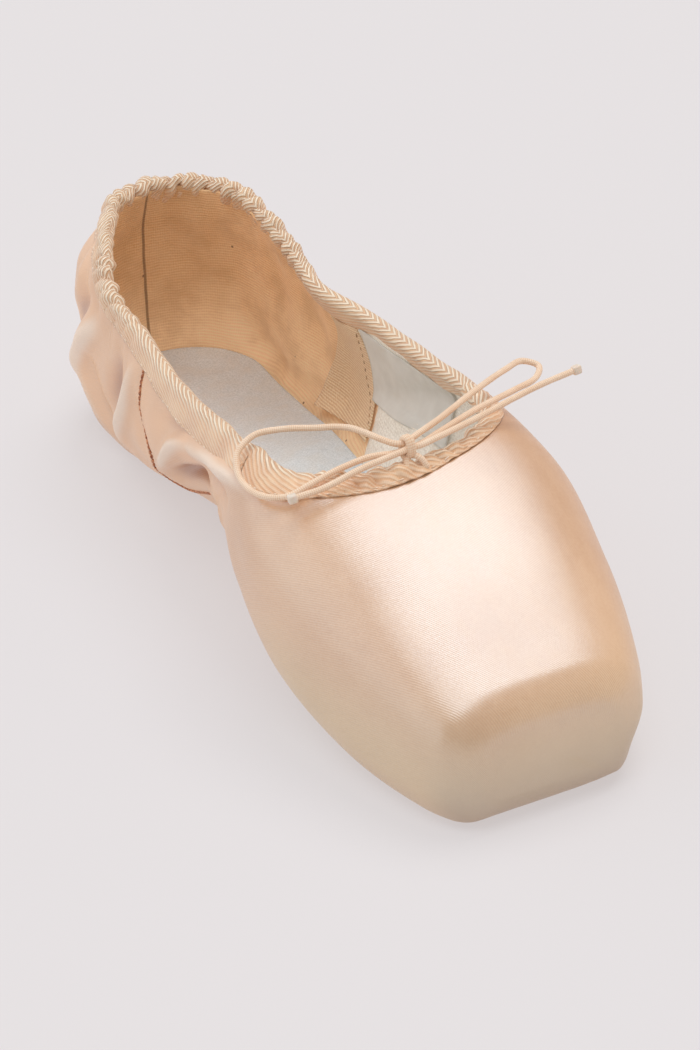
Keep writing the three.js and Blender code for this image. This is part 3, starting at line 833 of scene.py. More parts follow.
def layer_side(side, rows, count, depth, relief):
    """One side of a layer. depth is how far it lies under the satin, relief what its folds add."""

    def shape(columns, _):
        along = np.maximum(rows, 0)
        a = along[:, None] * np.ones(columns + 1)
        b = section_columns(along, columns)
        skin, out = surface(a, b), outward(a, b)
        across = run_across(skin)
        flip = mirror(side)
        rise = relief(skin * flip, a, b, across, side)
        points = (skin - out * (depth(a, b) - rise)[..., None]) * flip
        inner = rows < 0
        face = points[inner]
        centre = (face[:, :1] + face[:, -1:]) / 2
        points[inner] = centre + (face - centre) * (1 + rows[inner])[:, None, None]
        meet_at_middle(points, skin[..., 0], a)
        from_ridge = side * (ridge_to_edge(along)[:, None] + across)
        run = np.where(inner, rows * FACE_REACH, rows)[:, None] * np.ones_like(across)
        return points, np.stack([from_ridge, run], -1), folds_at(skin * flip, side)

    return grid_mesh("side", count, len(rows) - 1, shape)


# %% Length of the collar
COLLAR_ALONG = runs((THROAT, SIDE_START, 120, True), (SIDE_START, ALONG_END, 400, False))
COLLAR_RUN = run_along(surface(COLLAR_ALONG, collar_around(COLLAR_ALONG)))
HALF_COLLAR = COLLAR_RUN[-1]
collar_run = lambda along: np.interp(along, COLLAR_ALONG, COLLAR_RUN)
print(f"the collar is {2 * HALF_COLLAR:.0f} mm round")


# %% [markdown]
# ## Folds of the satin
# The box holds the satin tight, but the soft quarter and heel fold. The drawstring gathers the edge
# round the heel into small flutes. Where the stiff box ends, the flank is drawn in under the arch and
# the waist buckles into a pocket. Under the toe the satin is pleated towards the sole. Folds could be
# sculpted, or left to a cloth simulation. Here each main fold is a short line on the surface, with a
# depth and a width, listed in a table, because a table is easy to read and to change. The lining
# follows the same folds, so that the layers stay together.

# %% Fold table
FOLDS = [
    # side (0: both), depth, width, [(along, around) ...]: a depth below zero is a ridge
    (-1, -2.6, 2.8, [(127, 0.83), (120.4, 0.8), (110, 0.74), (98, 0.64), (90, 0.6)]),
    (-1, 1.8, 2.6, [(124, 0.885), (116, 0.85), (107, 0.83), (99, 0.79)]),
    (-1, 6.4, 4.2, [
        (152, 1.36), (147, 1.24), (141, 1.14), (134, 1.06), (126, 0.99), (119, 0.97), (113, 1.0),
    ]),
    (-1, -2.4, 3.0, [(157, 1.3), (149, 1.12), (142.5, 0.94), (136.5, 0.86), (127, 0.82)]),
    (-1, -1.8, 2.4, [(123, 0.86), (117, 0.89), (112.5, 0.94), (109.5, 1.03), (107.5, 1.2)]),
    (-1, 1.6, 3.6, [(150, 0.82), (141, 0.81), (132, 0.78)]),
    (-1, -2.6, 3.6, [(168, 0.74), (173, 0.93), (180, 1.15), (186, 1.42)]),
    (-1, 3.4, 4.6, [(180, 0.8), (186, 1.0), (192, 1.25)]),
    (-1, -2.8, 4.6, [(196, 0.8), (203, 0.88), (212, 1.05), (218, 1.3)]),
    (-1, 2.8, 3.8, [(207, 0.76), (213, 0.86), (222, 1.0)]),
    (-1, -1.4, 3.4, [(214, 1.1), (206, 1.3), (199, 1.55)]),
    (-1, 1.5, 3.0, [(205, 1.0), (200, 1.2), (194, 1.4), (190, 1.62)]),
    (-1, 1.2, 4.0, [(165, 0.9), (162.5, 1.0), (161, 1.15)]),
    (-1, 1.6, 3.0, [(82, 0.47), (76, 0.43), (70, 0.42), (64, 0.45)]),
    (-1, -1.0, 3.0, [(78, 0.36), (70, 0.34), (64, 0.36)]),
    (1, -1.6, 4.0, [(138, 0.96), (126, 0.88), (114, 0.8), (100, 0.7)]),
    (1, 2.2, 5.0, [(146, 1.2), (134, 1.12), (122, 1.06), (110, 1.0)]),
    (1, -1.6, 4.5, [(222.7, 0.85), (222.7, 1.24), (213.7, 1.42), (197.8, 1.45), (179, 1.47)]),
    (1, 1.5, 8.0, [(212, 0.86), (208, 1.12), (198, 1.25), (184, 1.28)]),
    (1, 1.0, 4.0, [(178, 0.8), (176, 1.0), (174, 1.3)]),
    (0, 0.8, 4.0, [(232, 0.68), (234, 0.95), (235, 1.2)]),
    (0, 0.9, 5.0, [(242, 0.9), (238, 1.35), (234, 1.7)]),
]
SIDE_SEAM = [
    (163.5, 0.7), (162.8, 0.81), (161.3, 0.93), (158.8, 1.04), (158.3, 1.2), (160, 1.4), (160.5, 1.55),
    (157, 1.62),
]
EDGE_SEAM = [
    (157, 1.62), (150, 1.58), (143, 1.48), (135.8, 1.38), (127, 1.32), (119, 1.28), (113, 1.28),
    (108, 1.45), (105, 1.7), (104, 1.95),
]
ARCH_DEEP, ARCH_AT = 5.2, 1.47
print(len(FOLDS), "folds placed by hand")


# %% Lines on the surface
def route(places, step=1.0):
    """Places along a smooth line over the surface, evenly spaced in millimetres."""
    section = 30  # about how many millimetres a step of one round the section is
    rough = curve_through([(a, b * section, 0) for a, b in places], 0.5)
    a, b = rough[:, 0], rough[:, 1] / section
    run = run_along(surface(a, b))
    at = np.linspace(0, run[-1], max(2, round(run[-1] / step) + 1))
    return np.interp(at, run, a), np.interp(at, run, b)


def distance_to(points, line):
    """How far each point is from a line of points, and the share of the line's length there."""
    flat = points.reshape(-1, 3)
    best, share = np.full(len(flat), 1e9), np.zeros(len(flat))
    for i, (p, q) in enumerate(zip(line[:-1], line[1:])):
        d = q - p
        t = np.clip((flat - p) @ d / max(d @ d, 1e-9), 0, 1)
        away = np.linalg.norm(flat - p - t[:, None] * d, axis=1)
        near = away < best
        best, share = np.where(near, away, best), np.where(near, (i + t) / (len(line) - 1), share)
    return best.reshape(points.shape[:-1]), share.reshape(points.shape[:-1])


# %% Folds and hollows
def folds_at(points, side):
    """What the listed folds add at each point: troughs go in, ridges come out."""
    total = np.zeros(points.shape[:-1])
    for where, depth, wide, places in FOLDS:
        if where in (0, side):
            line = surface(*route(places, 4.0)) * mirror(side)
            away, share = distance_to(points, line)
            q = (away / wide) ** 2
            fade = np.sin(np.pi * np.clip(share * 0.86 + 0.07, 0, 1)) ** 0.8
            total -= depth * fade * np.exp(-q) * (1 - 0.45 * q)
    return total


def arch_hollow(along, around):
    """How far the flank is drawn in under the arch, behind the stiff box."""
    reach = ease((along - 92) / 22) * (1 - ease((along - 128) / 34))
    return ARCH_DEEP * reach * hump(around - ARCH_AT, 0.36)


def not_under(around):
    """1 down to the edge of the tread and 0 underneath, where nothing folds."""
    return 1 - ease((around - 2.05) / 0.2)


def shared_folds(points, along, around, side):
    """The folds that every layer of the soft part has, above the last's own surface."""
    soft = ease((along - 66) / 30)
    drape = waves(points, 11, 21) * 0.32 + waves(points, 26, 22) * 0.5
    return (soft * (drape + folds_at(points, side)) - arch_hollow(along, around)) * not_under(around)


def on_layer(along, around, side, high):
    """Points that lie high above the satin's own surface, with its folds, and the outward directions."""
    flip = mirror(side)
    skin, out = surface(along, around) * flip, outward(along, around) * flip
    rise = high + shared_folds(skin, along, around, side)
    return skin + out * rise[..., None], out


# %% Pleats under the toe
PLEAT_COUNT = 29
PLEAT_ANGLES = np.cumsum(np.random.default_rng(4).uniform(6.0, 10.5, PLEAT_COUNT)) - 118
PLEAT_DEPTHS = np.random.default_rng(5).uniform(0.2, 0.85, PLEAT_COUNT)
PLEAT_STARTS = np.random.default_rng(6).uniform(1.62, 1.95, PLEAT_COUNT)
PLEAT_MIDDLE = TOE_Y + 44


def pleats_at(points, along, around):
    """The pleats that draw the satin in under the toe, sharp in the valleys and full between them."""
    fan = np.degrees(np.arctan2(points[..., 0], PLEAT_MIDDLE - points[..., 1]))
    reach = np.hypot(points[..., 0], points[..., 1] - PLEAT_MIDDLE)
    total = np.zeros(points.shape[:-1])
    for angle, deep, start in zip(PLEAT_ANGLES, PLEAT_DEPTHS, PLEAT_STARTS):
        away = np.abs(fan - angle) * np.pi / 180 * reach
        shown = ease((around - start) / 0.35)
        total -= deep * (0.8 * hump(away, 0.8) + 0.35 * hump(away, 2.2)) * shown
    return total * ease((along - 1.5) / 8) * (1 - ease((along - 66) / 18))


# %% Gathers at the drawstring
def flutes(run, size, seed, sharp=0.75):
    """Gathers across a gathered edge: full rounds with narrow valleys, not all of one width."""
    jitter = waves(np.stack([run, run * 0 + seed], -1), size * 1.6, seed, 5) * size * 0.22
    swell = 0.8 + 0.28 * waves(np.stack([run, run * 0 - seed], -1), size * 1.1, seed + 1, 5)
    return (np.abs(np.cos(np.pi * (run + jitter) / size)) ** sharp) * swell


def signed_run(along, side):
    """Distances round the collar, from the middle of the throat and from the back of the heel."""
    run = collar_run(along)
    return side * run, side * (HALF_COLLAR - run)


def heel_share(along):
    """1 where the drawstring gathers the heel, and 0 along the smooth sides."""
    return ease((collar_run(along) - HALF_COLLAR * 0.56) / (HALF_COLLAR * 0.22))


def satin_relief(points, along, around, across, side):
    """Everything that raises the satin or draws it in: gathers, seams, the shared folds and pleats."""
    from_throat, from_heel = signed_run(along, side)
    heel = heel_share(along)
    at_throat = (1 - ease((np.abs(from_throat) - 16) / 12)) * (along > THROAT)
    gather = hump(across, 9) * (flutes(from_heel, 4.7, 3) - 0.75) * 0.75 * heel
    gather += hump(across - 12, 8) * (flutes(from_heel, 9.5, 8, 1.3) - 0.4) * 1.3 * heel
    gather += hump(across, 5) * 0.35 * (flutes(from_throat, 4.2, 6) - 0.5) * at_throat
    box = waves(points, 30, 23) * 0.14 * (1 - ease((along - 88) / 24))
    seam_away, _ = distance_to(points, surface(*route(SIDE_SEAM, 3.0)) * mirror(side))
    behind = ease((along - 158) / 2.5)
    seam = 0.4 * hump(seam_away - 1.5, 1.4) * behind - 0.5 * hump(seam_away, 0.75)
    back = np.where(along > HEEL_CENTRE, -0.5 * hump(np.abs(points[..., 0]), 0.7), 0)
    own = (gather + box + seam + back) * not_under(around)
    return own + shared_folds(points, along, around, side) + pleats_at(points, along, around)


# %% [markdown]
# ## Satin
# Pointe satin has a fine diagonal rib and a broad, pale sheen. The sheen could come from a metal or a
# coat. Here the index of refraction is set high, with a roughness that spreads the light widely, and
# the shine is tinted a little blue, so that it looks white over the peach cloth. Fine ribs and slubs
# come from the weave's own map and slow changes of tone from the place on the shoe. Painted light is
# added from the attribute that says how far the folds raise the cloth: painted shade in the troughs
# and painted highlights on the ridges. A painted reflection of the pale floor lies on the low front of
# the box, and painted shade on the foot of the platform and all round towards the floor.

# %% Satin finish
def satin_finish():
    finish = Finish(
        "peach satin", IOR=2.8, Specular_Tint=(0.76, 0.9, 1, 1), Sheen_Weight=0.1, Sheen_Roughness=0.4
    )
    across, along = finish.weave()
    _, y, z = finish.axes()
    off_middle = along.step(-0.013, -0.005)  # the threads would run together at the platform's middle
    rib = (across * (TURN / 0.00062) + along * (TURN / 0.0008)).sine()
    thread = rib * off_middle * 0.5 + 0.5
    fine = finish.noise(0.7, 3)
    slub = finish.noise(3.0, 2, stretch=(1, 0.25, 1))
    cloud = finish.noise(34, 1)
    tone = (cloud * 0.55 + slub * 0.25 + fine * 0.2).step(0.25, 0.75)
    cloth = finish.blend(tone, "D89E69", "EBB888")
    ribs = (thread * 0.5 + fine * 0.5).step(0.1, 0.9)
    cloth = finish.blend(ribs * 0.25, cloth, "F4DDC4")
    soft_part = y.step(-0.035, 0.005)
    warm = finish.noise(17, 1, stretch=(1, 1, 0.6)).step(0.45, 0.7) * 0.35 + 0.55
    cloth = finish.blend(warm * soft_part, cloth, "FBC18A")
    # Painted shade: the troughs of the folds are darker and more orange.
    deep = finish.fold().step(-3.6, -0.6, 1.0, 0.0)
    cloth = finish.blend(deep * 0.8, cloth, "B87440")
    # Painted highlight: the ridges of the folds are paler.
    painted_ridge_highlight = finish.fold().step(0.4, 2.2)
    cloth = finish.blend(painted_ridge_highlight * 0.5, cloth, "FFF0DE")
    # Painted reflection: the low front of the box is greyer and creamier, like satin mirroring the pale
    # floor.
    box_front_painted_reflection = y.step(-0.06, -0.03, 1.0, 0.0) * z.step(0.012, 0.04, 1.0, 0.0)
    cloth = finish.blend(box_front_painted_reflection * 0.45, cloth, "E0CB98")
    # Painted shade: the foot of the platform is darker near the floor.
    platform_foot_painted_shade = y.step(-0.114, -0.104, 1.0, 0.0) * z.step(0.0, 0.024, 1.0, 0.0)
    cloth = finish.blend(platform_foot_painted_shade * 0.6, cloth, "A98E6E")
    # Painted shade: the satin is darker and more orange towards the floor.
    low = 1 - z.step(0.0, 0.011)
    cloth = finish.blend(low * 0.35, cloth, "C48E62")
    finish.feed("Base Color", cloth)
    finish.feed("Roughness", 0.27 + slub * 0.08 + (1 - thread) * 0.04)
    finish.bump(thread * 0.55 + fine * 0.4 + slub * 0.5, 0.055, 0.7)
    return finish.material


# %% Satin of the upper
def at_surface(along, around):
    """The depth of the outermost layer."""
    return 0 * along


satin = joined(
    "upper_satin",
    [layer_side(side, section_rows(), 84, at_surface, satin_relief) for side, _ in SIDES],
)
face_away(satin, (0, 0, 25))
show("upper_satin", satin, satin_finish(), ["upper"], thick=0.7)

# %% [markdown]
# ## Binding
# A ribbed tape is folded over the collar edge and holds the drawstring. Its section is two legs and a
# rounded fold. It could be a section swept along a curve, but the collar lies on a doubly curved form.
# So the tape is a grid, with rows along the collar and columns that walk over the surface from the
# tape's outer edge, over the fold, to its inner edge.

# %% Binding shape
TAPE_HIGH, TAPE_EDGE_HIGH, TAPE_IN, TAPE_THICK = 1.1, 0.5, 7.0, 0.4
TAPE_WIDTH = {
    -1: smooth_column(
        [(0, 4.0), (10, 5.4), (22, 6.4), (50, 7.8), (85, 7.4), (112, 5.6), (200, 6.0)], 1
    ),
    1: smooth_column([(0, 4.0), (12, 2.6), (26, 2.8), (46, 6), (85, 7), (200, 6.4)], 1),
}


def edge_frames(along):
    """Outward and away-from-the-edge directions at points of the collar edge."""
    around = collar_around(along)
    out = outward(along, around)
    near = np.minimum(0.2, np.minimum((along - THROAT) / 2, (ALONG_END - along) / 2))
    near = np.maximum(near, 1e-6)
    ahead, behind = (surface(a, collar_around(a)) for a in (along + near, along - near))
    way = ahead - behind
    way[along <= THROAT + 1e-6] = (1, 0, 0)
    way[along >= ALONG_END - 1e-6] = (-1, 0, 0)
    way = unit(way - out * (way * out).sum(-1, keepdims=True))
    return out, unit(-np.cross(out, way))


def walk_from_edge(along, away, reach, steps):
    """Places reached by walking over the surface, square to the edge, for 0 to reach."""
    a, b = along.copy(), collar_around(along)
    places = [(a, b)]
    for _ in range(steps):
        back, down = directions(a, b)
        go = away * (reach / steps)[:, None]
        bb, bd, dd = (back * back).sum(-1), (back * down).sum(-1), (down * down).sum(-1)
        wb, wd = (go * back).sum(-1), (go * down).sum(-1)
        size = bb * dd - bd * bd
        a = np.minimum(a + (wb * dd - wd * bd) / size, ALONG_END)
        b = np.maximum(b + (wd * bb - wb * bd) / size, 0)
        places.append((a, b))
    return [np.stack(column, axis=1) for column in zip(*places)]


# %% Section of the tape
LEG, FOLD = 12, 10  # columns on each leg and over the fold
FOLD_MIDDLE = 0.5 * np.pi * (SOFT_WALL / 2 + TAPE_HIGH)
TAPE_ROWS = runs(
    (THROAT, SIDE_START, 110, True), (SIDE_START, HEEL_CENTRE, 190, False),
    (HEEL_CENTRE, ALONG_END, 90, False),
)
print(f"the tape is {2 * FOLD_MIDDLE:.1f} mm over its fold, in {2 * len(TAPE_ROWS)} rows")


def tape_section(along, side):
    """Points of the tape's outer face, how far across the tape each is, and which way is outward."""
    out, away = edge_frames(along)
    wide = TAPE_WIDTH[side](collar_run(along))
    steps = np.linspace(0, 1, LEG + 1)
    high = TAPE_HIGH + (TAPE_EDGE_HIGH - TAPE_HIGH) * steps**2

    def leg(reach, inner):
        a, b = walk_from_edge(along, away, reach, LEG)
        normal = outward(a, b)
        deep = wall(a, b) + high if inner else -high * np.ones_like(a)
        return surface(a, b) - normal * deep[..., None], normal

    outer, outer_normal = leg(wide, False)
    inner, inner_normal = leg(np.full_like(wide, TAPE_IN), True)
    half_wall = wall(along, collar_around(along))[:, None, None] / 2
    centre = surface(along, collar_around(along))[:, None] - out[:, None] * half_wall
    turn = np.linspace(0, np.pi, FOLD + 1)[None, 1:-1, None]
    ray = out[:, None] * np.cos(turn) - away[:, None] * np.sin(turn) * 0.8
    fold = centre + ray * (half_wall + TAPE_HIGH)
    points = np.concatenate([outer[:, ::-1], fold, inner], axis=1)
    facing = np.concatenate([outer_normal[:, ::-1], unit(ray), -inner_normal], axis=1)
    over = 2 * FOLD_MIDDLE
    spread = np.concatenate([steps[:0:-1] * 0, np.linspace(0, over, FOLD + 1), over + TAPE_IN * steps[1:]])
    across = np.tile(spread, (len(along), 1))
    across[:, :LEG] = -wide[:, None] * steps[:0:-1]
    return points, facing, across


# %% Gathers of the tape
def tape_relief(along, across, side):
    """Gathers of the tape: puffed rounds at the heel, loose ruches at the throat, ripples between."""
    from_throat, from_heel = signed_run(along[:, None], side)
    on_tape = lambda run: np.stack(np.broadcast_arrays(run, across), -1)
    heel = heel_share(along[:, None])
    throat = 1 - ease((np.abs(from_throat) - 18) / 18)
    slant = across * 0.34
    smooth = hump(from_heel + 27, 12)
    rope = (flutes(from_heel + slant, 4.6, 3, 0.55) - 0.5) * 1.7 + 0.4 * waves(on_tape(from_heel), 2.4, 31)
    rope += 0.9 * (flutes(from_heel - slant, 11, 9, 0.9) - 0.5)
    rope = rope * (1 - 0.8 * smooth) + smooth * 0.5 * waves(on_tape(from_heel / 3), 2.2, 35)
    ruche = (flutes(from_throat + slant * 1.4, 4.3, 6, 0.7) - 0.5) * 1.4
    ruche += 0.6 * waves(on_tape(from_throat), 2.8, 32)
    ruche += 1.5 * hump(from_throat + 3, 5) * hump(across + 1, 3)
    calm = 0.2 * waves(on_tape(from_throat), 8, 33)
    inner_edge = 2 * FOLD_MIDDLE + TAPE_IN
    wide = TAPE_WIDTH[side](np.abs(from_throat))
    to_edge = np.minimum((across + wide) / 3.0, (inner_edge - across) / 4)
    gathered = (rope * heel + ruche * throat) * (0.35 + 0.65 * ease(to_edge))
    return gathered + calm * (1 - heel) * (1 - throat)


def tape_side(side):
    """One half of the tape. Its map runs on faster at the heel, where more tape is bunched up."""

    def shape(*_):
        points, facing, across = tape_section(TAPE_ROWS, side)
        rise = tape_relief(TAPE_ROWS, across, side)
        points = (points + facing * rise[..., None]) * mirror(side)
        points[[0, -1], :, 0] = 0
        collar = collar_run(TAPE_ROWS)
        bunched = np.maximum(collar - 0.66 * HALF_COLLAR, 0) * 0.9
        run = side * (collar + bunched)[:, None] * np.ones_like(across)
        return points, np.stack([run, across], axis=-1), rise

    return grid_mesh("tape", 2 * LEG + FOLD, len(TAPE_ROWS) - 1, shape)


# %% [markdown]
# The tape's ribs slant across it and turn back at its fold. A rib's pale top is a painted highlight
# and its orange groove a painted shade, and the ribs stand out most on the fold. They are too fine to
# model, so they are drawn in the tape's own map, where they follow the fold and the gathers. The
# valleys of the gathers get a painted shade as well.

# %% Binding finish
def ribbed_tape_finish():
    finish = Finish("ribbed tape", Sheen_Weight=0.25, IOR=1.7)
    run, across = finish.weave()
    slant = (across - FOLD_MIDDLE * MM).size()
    on_fold = slant.step(0.0022, 0.0052, 1.0, 0.0)
    uneven = finish.noise(6, 1)
    wander = finish.noise(2.2, 1)
    phase = run - slant * 2.1 + uneven * 0.002 + wander * 0.0008
    ribs = phase.ribs(0.0027)
    fine = (run + slant * 0.8).ribs(0.0006)
    threads = finish.noise(0.5, 2)
    cloud = finish.noise(9, 2)
    # The ribs are the tape's weave; their pale tops are painted highlight and their orange grooves painted
    # shade, strongest on the fold.
    tone = ribs.step(0.0, 1.0) * (0.3 + on_fold * 0.45) + threads * 0.25 + fine * 0.1 + 0.1
    groove_painted_shade = finish.blend(cloud.step(0.35, 0.7), "DB985C", "EDB57C")
    cloth = finish.blend(tone, groove_painted_shade, "FFECD2")
    # Painted shade: the valleys of the gathers are darker orange.
    gather_valley_painted_shade = finish.fold().step(-1.3, 0.1, 0.6, 0.0)
    finish.feed("Base Color", finish.blend(gather_valley_painted_shade, cloth, "CF8A50"))
    finish.feed("Roughness", 0.56 - ribs * 0.18)
    height = ribs.step(0.02, 0.75) * (0.35 + on_fold * 0.65) + threads * 0.12 + fine * 0.08
    finish.bump(height, 0.34, 0.9)
    return finish.material


# %% Binding
tape = joined("binding_tape", [tape_side(side) for side, _ in SIDES])
face_away(tape, (0, 20, -300))
show("binding_tape", tape, ribbed_tape_finish(), ["binding"], thick=TAPE_THICK)


# %% [markdown]
# ## Stitches
# A stitch is a short thread that dives at both ends. It could be a bent tube, but so small a thing
# needs only a ball with few faces, stretched along the seam, and a whole row is one mesh.

# %% Stitch rows
def every(line, outs, step):
    """The middle, way and outward direction of each stitch along a line."""
    even = evenly(line, step)
    middles = (even[1:] + even[:-1]) / 2
    near = [int(np.argmin(np.linalg.norm(line - middle, axis=1))) for middle in middles]
    return middles, unit(even[1:] - even[:-1]), outs[near]


def stitch_row(name, line, outs, step, long, thick, finish, slant=0.0):
    """Stitches of that length and thickness, one each step, turned by slant degrees to the line."""
    bm = bmesh.new()
    lean = np.radians(slant)
    for point, way, out in zip(*every(line, outs, step)):
        side = np.cross(out, way)
        main = way * np.cos(lean) + side * np.sin(lean)
        other = np.cross(out, main)
        axes = Matrix((Vector(main * long), Vector(other * thick), Vector(out * thick * 0.8)))
        spot = Matrix.Translation(Vector(settled(point)))
        bmesh.ops.create_uvsphere(
            bm, u_segments=7, v_segments=5, radius=0.5, matrix=spot @ axes.transposed().to_4x4()
        )
    bmesh.ops.scale(bm, vec=(MM, MM, MM), verts=bm.verts)
    bmesh.ops.recalc_face_normals(bm, faces=bm.faces)
    show(name, as_mesh(name, bm), finish)


# %% Threads
def thread_finish(name, dark, light):
    finish = Finish(name)
    twist = finish.noise(0.8, 2)
    finish.feed("Base Color", finish.blend(twist.step(0.3, 0.7), dark, light))
    finish.feed("Roughness", 0.4 + twist * 0.25)
    finish.bump(twist, 0.1)
    return finish.material


brown_thread = thread_finish("brown thread", "8E4626", "E7A377")
peach_thread = thread_finish("peach thread", "E8C39C", "FFF0DE")
cotton_thread = thread_finish("cotton thread", "8F6848", "CDA67C")

# %% [markdown]
# A brown seam goes down each side and then along the sole's edge. A row of pale stitches holds the
# tape near its outer edge.

# %% Seams outside
for side, word in SIDES:
    line, outs = on_layer(*route(SIDE_SEAM + EDGE_SEAM[1:], 0.5), side, 0.1)
    stitch_row(f"side_seam_{word}", line, outs, 1.5, 2.0, 0.85, brown_thread, 22 * side)


def tape_stitches(side, word):
    points, facing, across = tape_section(TAPE_ROWS, side)
    points = points + facing * tape_relief(TAPE_ROWS, across, side)[..., None]
    inset = 0.8 - TAPE_WIDTH[side](collar_run(TAPE_ROWS))
    line = np.array([
        [np.interp(at, row, spots[:, k]) for k in range(3)]
        for at, row, spots in zip(inset, across, points)
    ])
    outs = facing[:, 0] * mirror(side)
    line = line * mirror(side) + outs * 0.02
    stitch_row(f"tape_stitches_{word}", line[3:-1], outs[3:-1], 2.3, 1.7, 0.35, peach_thread)


for side, word in SIDES:
    tape_stitches(side, word)


# %% [markdown]
# ## Lining
# The inside is lined with cotton. The quarters have a beige twill with level ribs, a seam down the
# back of the heel and a row of stitches beside it. The front has a paler cotton, which ends at a
# stitched line on each side. It could be two pieces, but one layer that lies a wall's thickness under
# the satin has no gap to show, and its finish changes at the line. The cloth has a faint glow of its
# own colour, a painted light that stands in for the light coming through thin cotton, and a painted
# light makes it paler towards the bottom.

# %% Lining shape
FRONT_AT, FRONT_SLOPE = 129.5, 0.68  # where the front cotton ends at the floor's level, and its slope


def lining_relief(points, along, around, across, side):
    """The satin's folds again, with the lining's own slack, which only ever falls inwards."""
    _, from_heel = signed_run(along, side)
    soft = ease((along - 96) / 20)
    slack = (waves(points, 12, 41) - 0.8) * 0.3 * soft
    crumpled = hump(across - 34, 18) * ease((along - 226) / 12)
    slack = slack + 0.45 * (waves(points, 3.6, 42) - 0.9) * crumpled
    slack = slack + 0.8 * (waves(points * [1, 1, 0.4], 9, 43) - 0.8) * ease((along - 185) / 20)
    gather = hump(across - 8, 8) * (flutes(from_heel, 5.2, 3) - 1) * 0.7 * heel_share(along)
    seam = np.where(along > HEEL_CENTRE, 0.4 * hump(np.abs(points[..., 0]), 0.5), 0)
    front = -0.35 * (1 - ease(along - FRONT_AT - FRONT_SLOPE * points[..., 2] + 0.5)) * soft
    return shared_folds(points, along, around, side) + slack + gather + seam + front


# %% Cotton finishes
def ribbed_cotton(finish, run, level, dark, light):
    """Cotton with level ribs: its colour and its fibres. It also sets the roughness and the bump."""
    cloud = finish.noise(14, 2)
    fibre = finish.noise(0.55, 3)
    ribs = (level + cloud * 0.0012).ribs(0.00085)
    cross = run.ribs(0.0007)
    tone = (ribs * 0.35 + fibre * 0.5 + cross * 0.15).step(0.15, 0.85)
    finish.feed("Roughness", 0.8 + fibre * 0.15)
    finish.bump(ribs * 0.5 + fibre * 0.35 + cross * 0.15, 0.2, 0.75)
    cloth = finish.blend(tone, dark, light)
    return finish.blend(cloud.step(0.4, 0.75) * 0.3, cloth, "FFDCB4"), fibre


def lining_finish():
    # Painted light: the lining glows faintly in its own colour.
    finish = Finish("cotton lining", Sheen_Weight=0.2, Emission_Strength=0.1)
    _, along = finish.weave()
    x, y, z = finish.axes()
    beige, fibre = ribbed_cotton(finish, along, z, "DFA672", "FFD6A4")
    # Painted light: the lining is paler towards the bottom.
    low = 1 - z.step(0.008, 0.042)
    beige = finish.blend(low * 0.5, beige, "FFE6C2")
    shaded = y.step(0.094, 0.112) * z.step(0.01, 0.03)
    beige = finish.blend(shaded * 0.4, beige, "BC9468")
    stain = finish.noise(9, 3).step(0.42, 0.7)
    beige = finish.blend(stain * 0.3, beige, "B98A5C")
    front = 1 - (along - z * FRONT_SLOPE).step((FRONT_AT - 0.4) * MM, (FRONT_AT + 0.4) * MM)
    pale = finish.blend(fibre.step(0.2, 0.8), "E0D6C8", "FBF5EA")
    cloth = finish.blend(front, beige, pale)
    fleck = finish.spots(105.0).step(0.028, 0.05, 1.0, 0.0)
    cloth = finish.blend(fleck * 0.8, cloth, "6E4B34")
    seam = x.size().step(0.00018, 0.0006, 1.0, 0.0) * y.step(0.088, 0.09)
    cloth = finish.blend(seam * 0.7, cloth, "6B4A33")
    finish.feed("Base Color", cloth)
    # Painted light: the glow takes the cloth's own colour.
    finish.feed("Emission Color", cloth)
    return finish.material


# %% Lining
lining = joined(
    "cotton_lining",
    [layer_side(side, section_rows(0.72), 56, wall, lining_relief) for side, _ in SIDES],
)
face_away(lining, (0, 0, 25), turned=True)
show("cotton_lining", lining, lining_finish(), thick=0.6)


# %% Lining stitches
BACK_LINE = [(244.9, 0.7), (245.2, 0.85), (245, 1.1), (243.2, 1.37), (239.7, 1.6)]


def inner_stitches(name, places, side, deep):
    a, b = route(places, 0.5)
    line, outs = on_layer(a, b, side, -(wall(a, b) + deep))
    stitch_row(name, line, -outs, 2.2, 1.3, 0.5, cotton_thread)


inner_stitches("back_stitches", BACK_LINE, 1, 0.45)


# %% [markdown]
# ## Wing linings and label
# Over each quarter lies a second, loose layer of twill, the wing. It is sewn in at its front and
# under the tape, and its back and lower edges stand off a little. A blank care label is sewn over the
# front end of one wing. Each could be drawn on the lining, but a loose edge throws a shadow, so each is
# a small sheet with its own thickness that stands off the lining.

# %% Wings and label
def patch(name, side, columns, rows, corner, stand, finish, thick):
    """A small sheet inside the shoe. corner gives (along, around) for a share across and a share down."""

    def shape(across_count, down_count):
        s, t = np.meshgrid(np.linspace(0, 1, across_count + 1), np.linspace(0, 1, down_count + 1))
        a, b = corner(s, t)
        points, _ = on_layer(a, b, side, -(wall(a, b) + stand(s, t)))
        run = run_across(points)
        down = run_across(points.transpose(1, 0, 2)).T
        return points, np.stack([run, down], -1)

    mesh = joined(name, [grid_mesh(name, columns, rows, shape)])
    face_away(mesh, (0, 20, 25), turned=True)
    show(name, mesh, finish, thick=thick)


# %% Wing linings
FRONT_LINE = [(157.5, 0.76), (156.6, 0.99), (150, 1.22), (141.5, 1.5)]


def wing_corner(s, t):
    front = 157 - 16 * t
    back = 169.5 + 13.5 * t - 8.5 * t**2
    high = 0.74 + 0.02 * s
    return front + (back - front) * s, high + (1.53 - high) * t


def wing_stand(s, t):
    """How far the wing stands off the lining: most at its free back edge and along its bottom."""
    back = 1.7 * ease((s - 0.62) / 0.38) * ease(t / 0.5) * (0.6 + 0.4 * t)
    bottom = 0.9 * ease((t - 0.7) / 0.3)
    return 0.8 + back + bottom + 0.25 * np.sin(s * 5 + t * 3)


